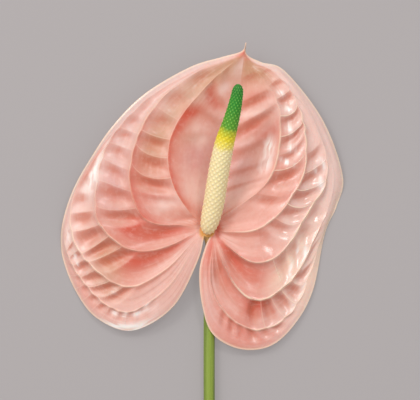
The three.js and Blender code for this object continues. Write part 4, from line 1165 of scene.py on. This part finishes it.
# Colours along the spadix: of a floret, of the gaps around it and of its nub. Each list has
# shares of the length with the colour there.
SPADIX_COLOURS = {
    "floret": [
        [0, 214, 150, 66], [0.035, 236, 214, 164], [0.56, 238, 220, 168], [0.605, 234, 214, 92],
        [0.65, 226, 206, 30], [0.685, 190, 188, 30], [0.725, 84, 150, 30], [0.88, 38, 136, 26],
        [1, 30, 116, 24],
    ],
    "gap": [
        [0, 190, 120, 44], [0.05, 222, 192, 132], [0.57, 224, 198, 130], [0.66, 190, 166, 20],
        [0.73, 60, 120, 20], [1, 24, 96, 24],
    ],
    "nub": [
        [0, 236, 186, 106], [0.05, 252, 240, 204], [0.57, 252, 242, 200], [0.66, 244, 232, 84],
        [0.73, 166, 218, 84], [1, 128, 204, 84],
    ],
}
FLORET_LUCK = 0.02
GAP_SHOWS = [0.6, 0.1, 0, 0.15]
NUB_SHOWS = [0.2, 0.8, 0, 0.6]
FLORET_ROUGH = [0, 1, 0.55, 0.38]
PIT_SCALE = 1500.0
PITS = [0.05, 0.4]


def spadix_material():
    n = Nodes("spadix_florets")
    chance = n.node("TexWhiteNoise", {"Vector": n.vector(n.number("left"), n.number("right"))},
                    noise_dimensions="2D")["Value"]
    luck = n.calc("MULTIPLY_ADD", chance, FLORET_LUCK, -FLORET_LUCK / 2)
    share = n.calc("ADD", n.number("share"), luck)

    def ramp(name):
        """The colours of a list, blended smoothly from each to the next."""
        stops = SPADIX_COLOURS[name]
        made = colour(*stops[0][1:])
        for before, stop in zip(stops[:-1], stops[1:]):
            made = n.blend(n.span(share, before[0], stop[0]), made, colour(*stop[1:]))
        return made

    body = n.blend(n.span(n.number("dome"), *GAP_SHOWS), ramp("floret"), ramp("gap"))
    body = n.blend(n.span(n.number("nub"), *NUB_SHOWS), body, ramp("nub"))
    n.set(Base_Color=body, Roughness=n.span(n.number("nub"), *FLORET_ROUGH),
          Normal=n.bump(n.noise(PIT_SCALE), *PITS), Subsurface_Weight=0.15,
          Subsurface_Scale=1.2 * MM, Subsurface_Radius=(1.0, 0.8, 0.3))
    return n.material


STEM_GREEN = colour(134, 154, 52)
STEM_DARK = colour(104, 124, 44)
STEM_LIGHT = colour(160, 176, 84)
CUT_FLESH = colour(196, 206, 140)
STEM_AMBER = colour(244, 204, 130)

# The stem's fine streaks run along it. It is amber below the seat, up to a share of its
# length, a light amber that is partly painted light against the shade under the blade, and
# pale on the cut.
STREAK_SCALES = (900.0, 14.0, 900.0)
SPECK_SCALE = 900.0
GROOVES = [0.12, 0.5]
STREAKED = [0.35, 0.65]
SPECKLED = [0.6, 0.75, 0, 0.35]
AMBER_TOP = [0.04, 0.012]
CUT_FACE = [0.99995, 1]
STEM_ROUGH = [0.3, 0.7, 0.34, 0.46]


def stem_material():
    n = Nodes("stem_waxy_green")
    stretched = n.node("Mapping", {"Vector": n.place(), "Scale": STREAK_SCALES})[0]
    streak = n.noise(1.0, 2.0, stretched)
    share = n.number("share")
    body = n.blend(n.span(streak, *STREAKED), STEM_DARK, STEM_GREEN)
    body = n.blend(n.span(n.noise(SPECK_SCALE), *SPECKLED), body, STEM_LIGHT)
    body = n.blend(n.span(share, *AMBER_TOP), body, STEM_AMBER)
    body = n.blend(n.span(share, *CUT_FACE), body, CUT_FLESH)
    n.set(Base_Color=body, Roughness=n.span(streak, *STEM_ROUGH),
          Normal=n.bump(streak, *GROOVES), Coat_Weight=0.15, Coat_Roughness=0.2,
          Subsurface_Weight=0.1, Subsurface_Scale=1.0 * MM, Subsurface_Radius=(0.6, 1.0, 0.3))
    return n.material


def dressed(name, made, shift, material):
    """A finished piece that stands for the CAD node of its name."""
    piece = new_piece(name + "_fine", made["points"], made["faces"], shift)
    for key, values in made["numbers"].items():
        add_number(piece, key, values)
    piece.data.materials.append(material)
    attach(piece, "root")
    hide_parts(name)
    return piece


def flower():
    """Makes the three pieces of the flower where the CAD nodes are. Returns the shift there."""
    spathe = spathe_mesh()
    low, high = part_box("spathe")
    middle = (np.array(low) + np.array(high)) / 2 / MM
    own = (spathe["points"].min(axis=0) + spathe["points"].max(axis=0)) / 2
    shift = np.array([middle[0] - own[0], middle[1] - own[1], 0])
    blade = dressed("spathe", spathe, shift, spathe_material())
    add_pairs(blade, "veins", spathe["veins"])
    add_pairs(blade, "spans", spathe["spans"])
    blade.data.normals_split_custom_set_from_vertices(spathe["normals"].tolist())
    dressed("spadix", spadix_mesh(), shift, spadix_material())
    dressed("stem", stem_mesh(), shift, stem_material())
    return shift


# The camera looks straight down. The photo's 420 pixels take in FRAME_WIDTH at the flower.
FRAME_WIDTH = 0.1932
FRAME_CENTRE = [1.84, 15.64]
FRAME_HEIGHT = 0.01
CAMERA_HEIGHT = 2.0
CLIPPING = [0.05, 20.0]
SENSOR = 36.0


def add_camera(shift):
    data = bpy.data.cameras.new("camera")
    data.sensor_width = SENSOR
    data.lens = SENSOR * CAMERA_HEIGHT / FRAME_WIDTH
    data.clip_start, data.clip_end = CLIPPING
    camera = add_object("camera", data)
    x, y = (FRAME_CENTRE + shift[:2]) * MM
    camera.location = (x, y, FRAME_HEIGHT + CAMERA_HEIGHT)
    bpy.context.scene.camera = camera


# Each light's place, size, power and tint. They all point at LIT_PLACE, on the spathe.
LIGHTS = {
    "key": [(-0.7, 0.75, 1.1), (1.4, 1.0), 8.2, (1.0, 0.985, 0.96)],
    "spark": [(-0.7, 0.75, 1.1), (0.4, 0.3), 4, (1.0, 0.985, 0.96)],
    "side": [(0.4, 0.8, 1.2), (0.25, 0.2), 4, (0.98, 0.99, 1.0)],
}
LIT_PLACE = (0, 0.11, 0.01)
FLOOR_GREY = colour(118, 114, 114)
FLOOR_GLOW = 1.34
FLOOR_REACH = 3.0
WORLD_LEVEL = 0.6
WORLD_TINT = (1, 0.985, 0.98, 1)


def soft_light(name, place, size, power, tint):
    data = bpy.data.lights.new(name, "AREA")
    data.shape = "RECTANGLE"
    data.size, data.size_y = size
    data.energy = power
    data.color = tint
    light = add_object(name, data)
    light.location = place
    light.rotation_mode = "QUATERNION"
    way = np.array(LIT_PLACE) - np.array(place)
    light.rotation_quaternion = Vector(way).to_track_quat("-Z", "Y")


def add_floor():
    mesh = bpy.data.meshes.new("floor")
    corners = [(-1, -1), (1, -1), (1, 1), (-1, 1)]
    mesh.from_pydata([(x * FLOOR_REACH, y * FLOOR_REACH, 0) for x, y in corners], [],
                     [(0, 1, 2, 3)])
    n = Nodes("floor_plain")
    n.set(Base_Color=FLOOR_GREY, Roughness=0.9, Specular_IOR_Level=0.1,
          Emission_Color=FLOOR_GREY, Emission_Strength=FLOOR_GLOW)
    mesh.materials.append(n.material)
    add_object("floor", mesh)


def add_studio():
    add_floor()
    for name, (place, size, power, tint) in LIGHTS.items():
        soft_light(name, place, size, power, tint)
    world = bpy.data.worlds.new("studio")
    world.use_nodes = True
    background = world.node_tree.nodes["Background"].inputs
    background["Color"].default_value = WORLD_TINT
    background["Strength"].default_value = WORLD_LEVEL
    bpy.context.scene.world = world
    bpy.context.scene.view_settings.view_transform = "Standard"


shift = flower()
add_camera(shift)
add_studio()

bpy.context.view_layer.update()
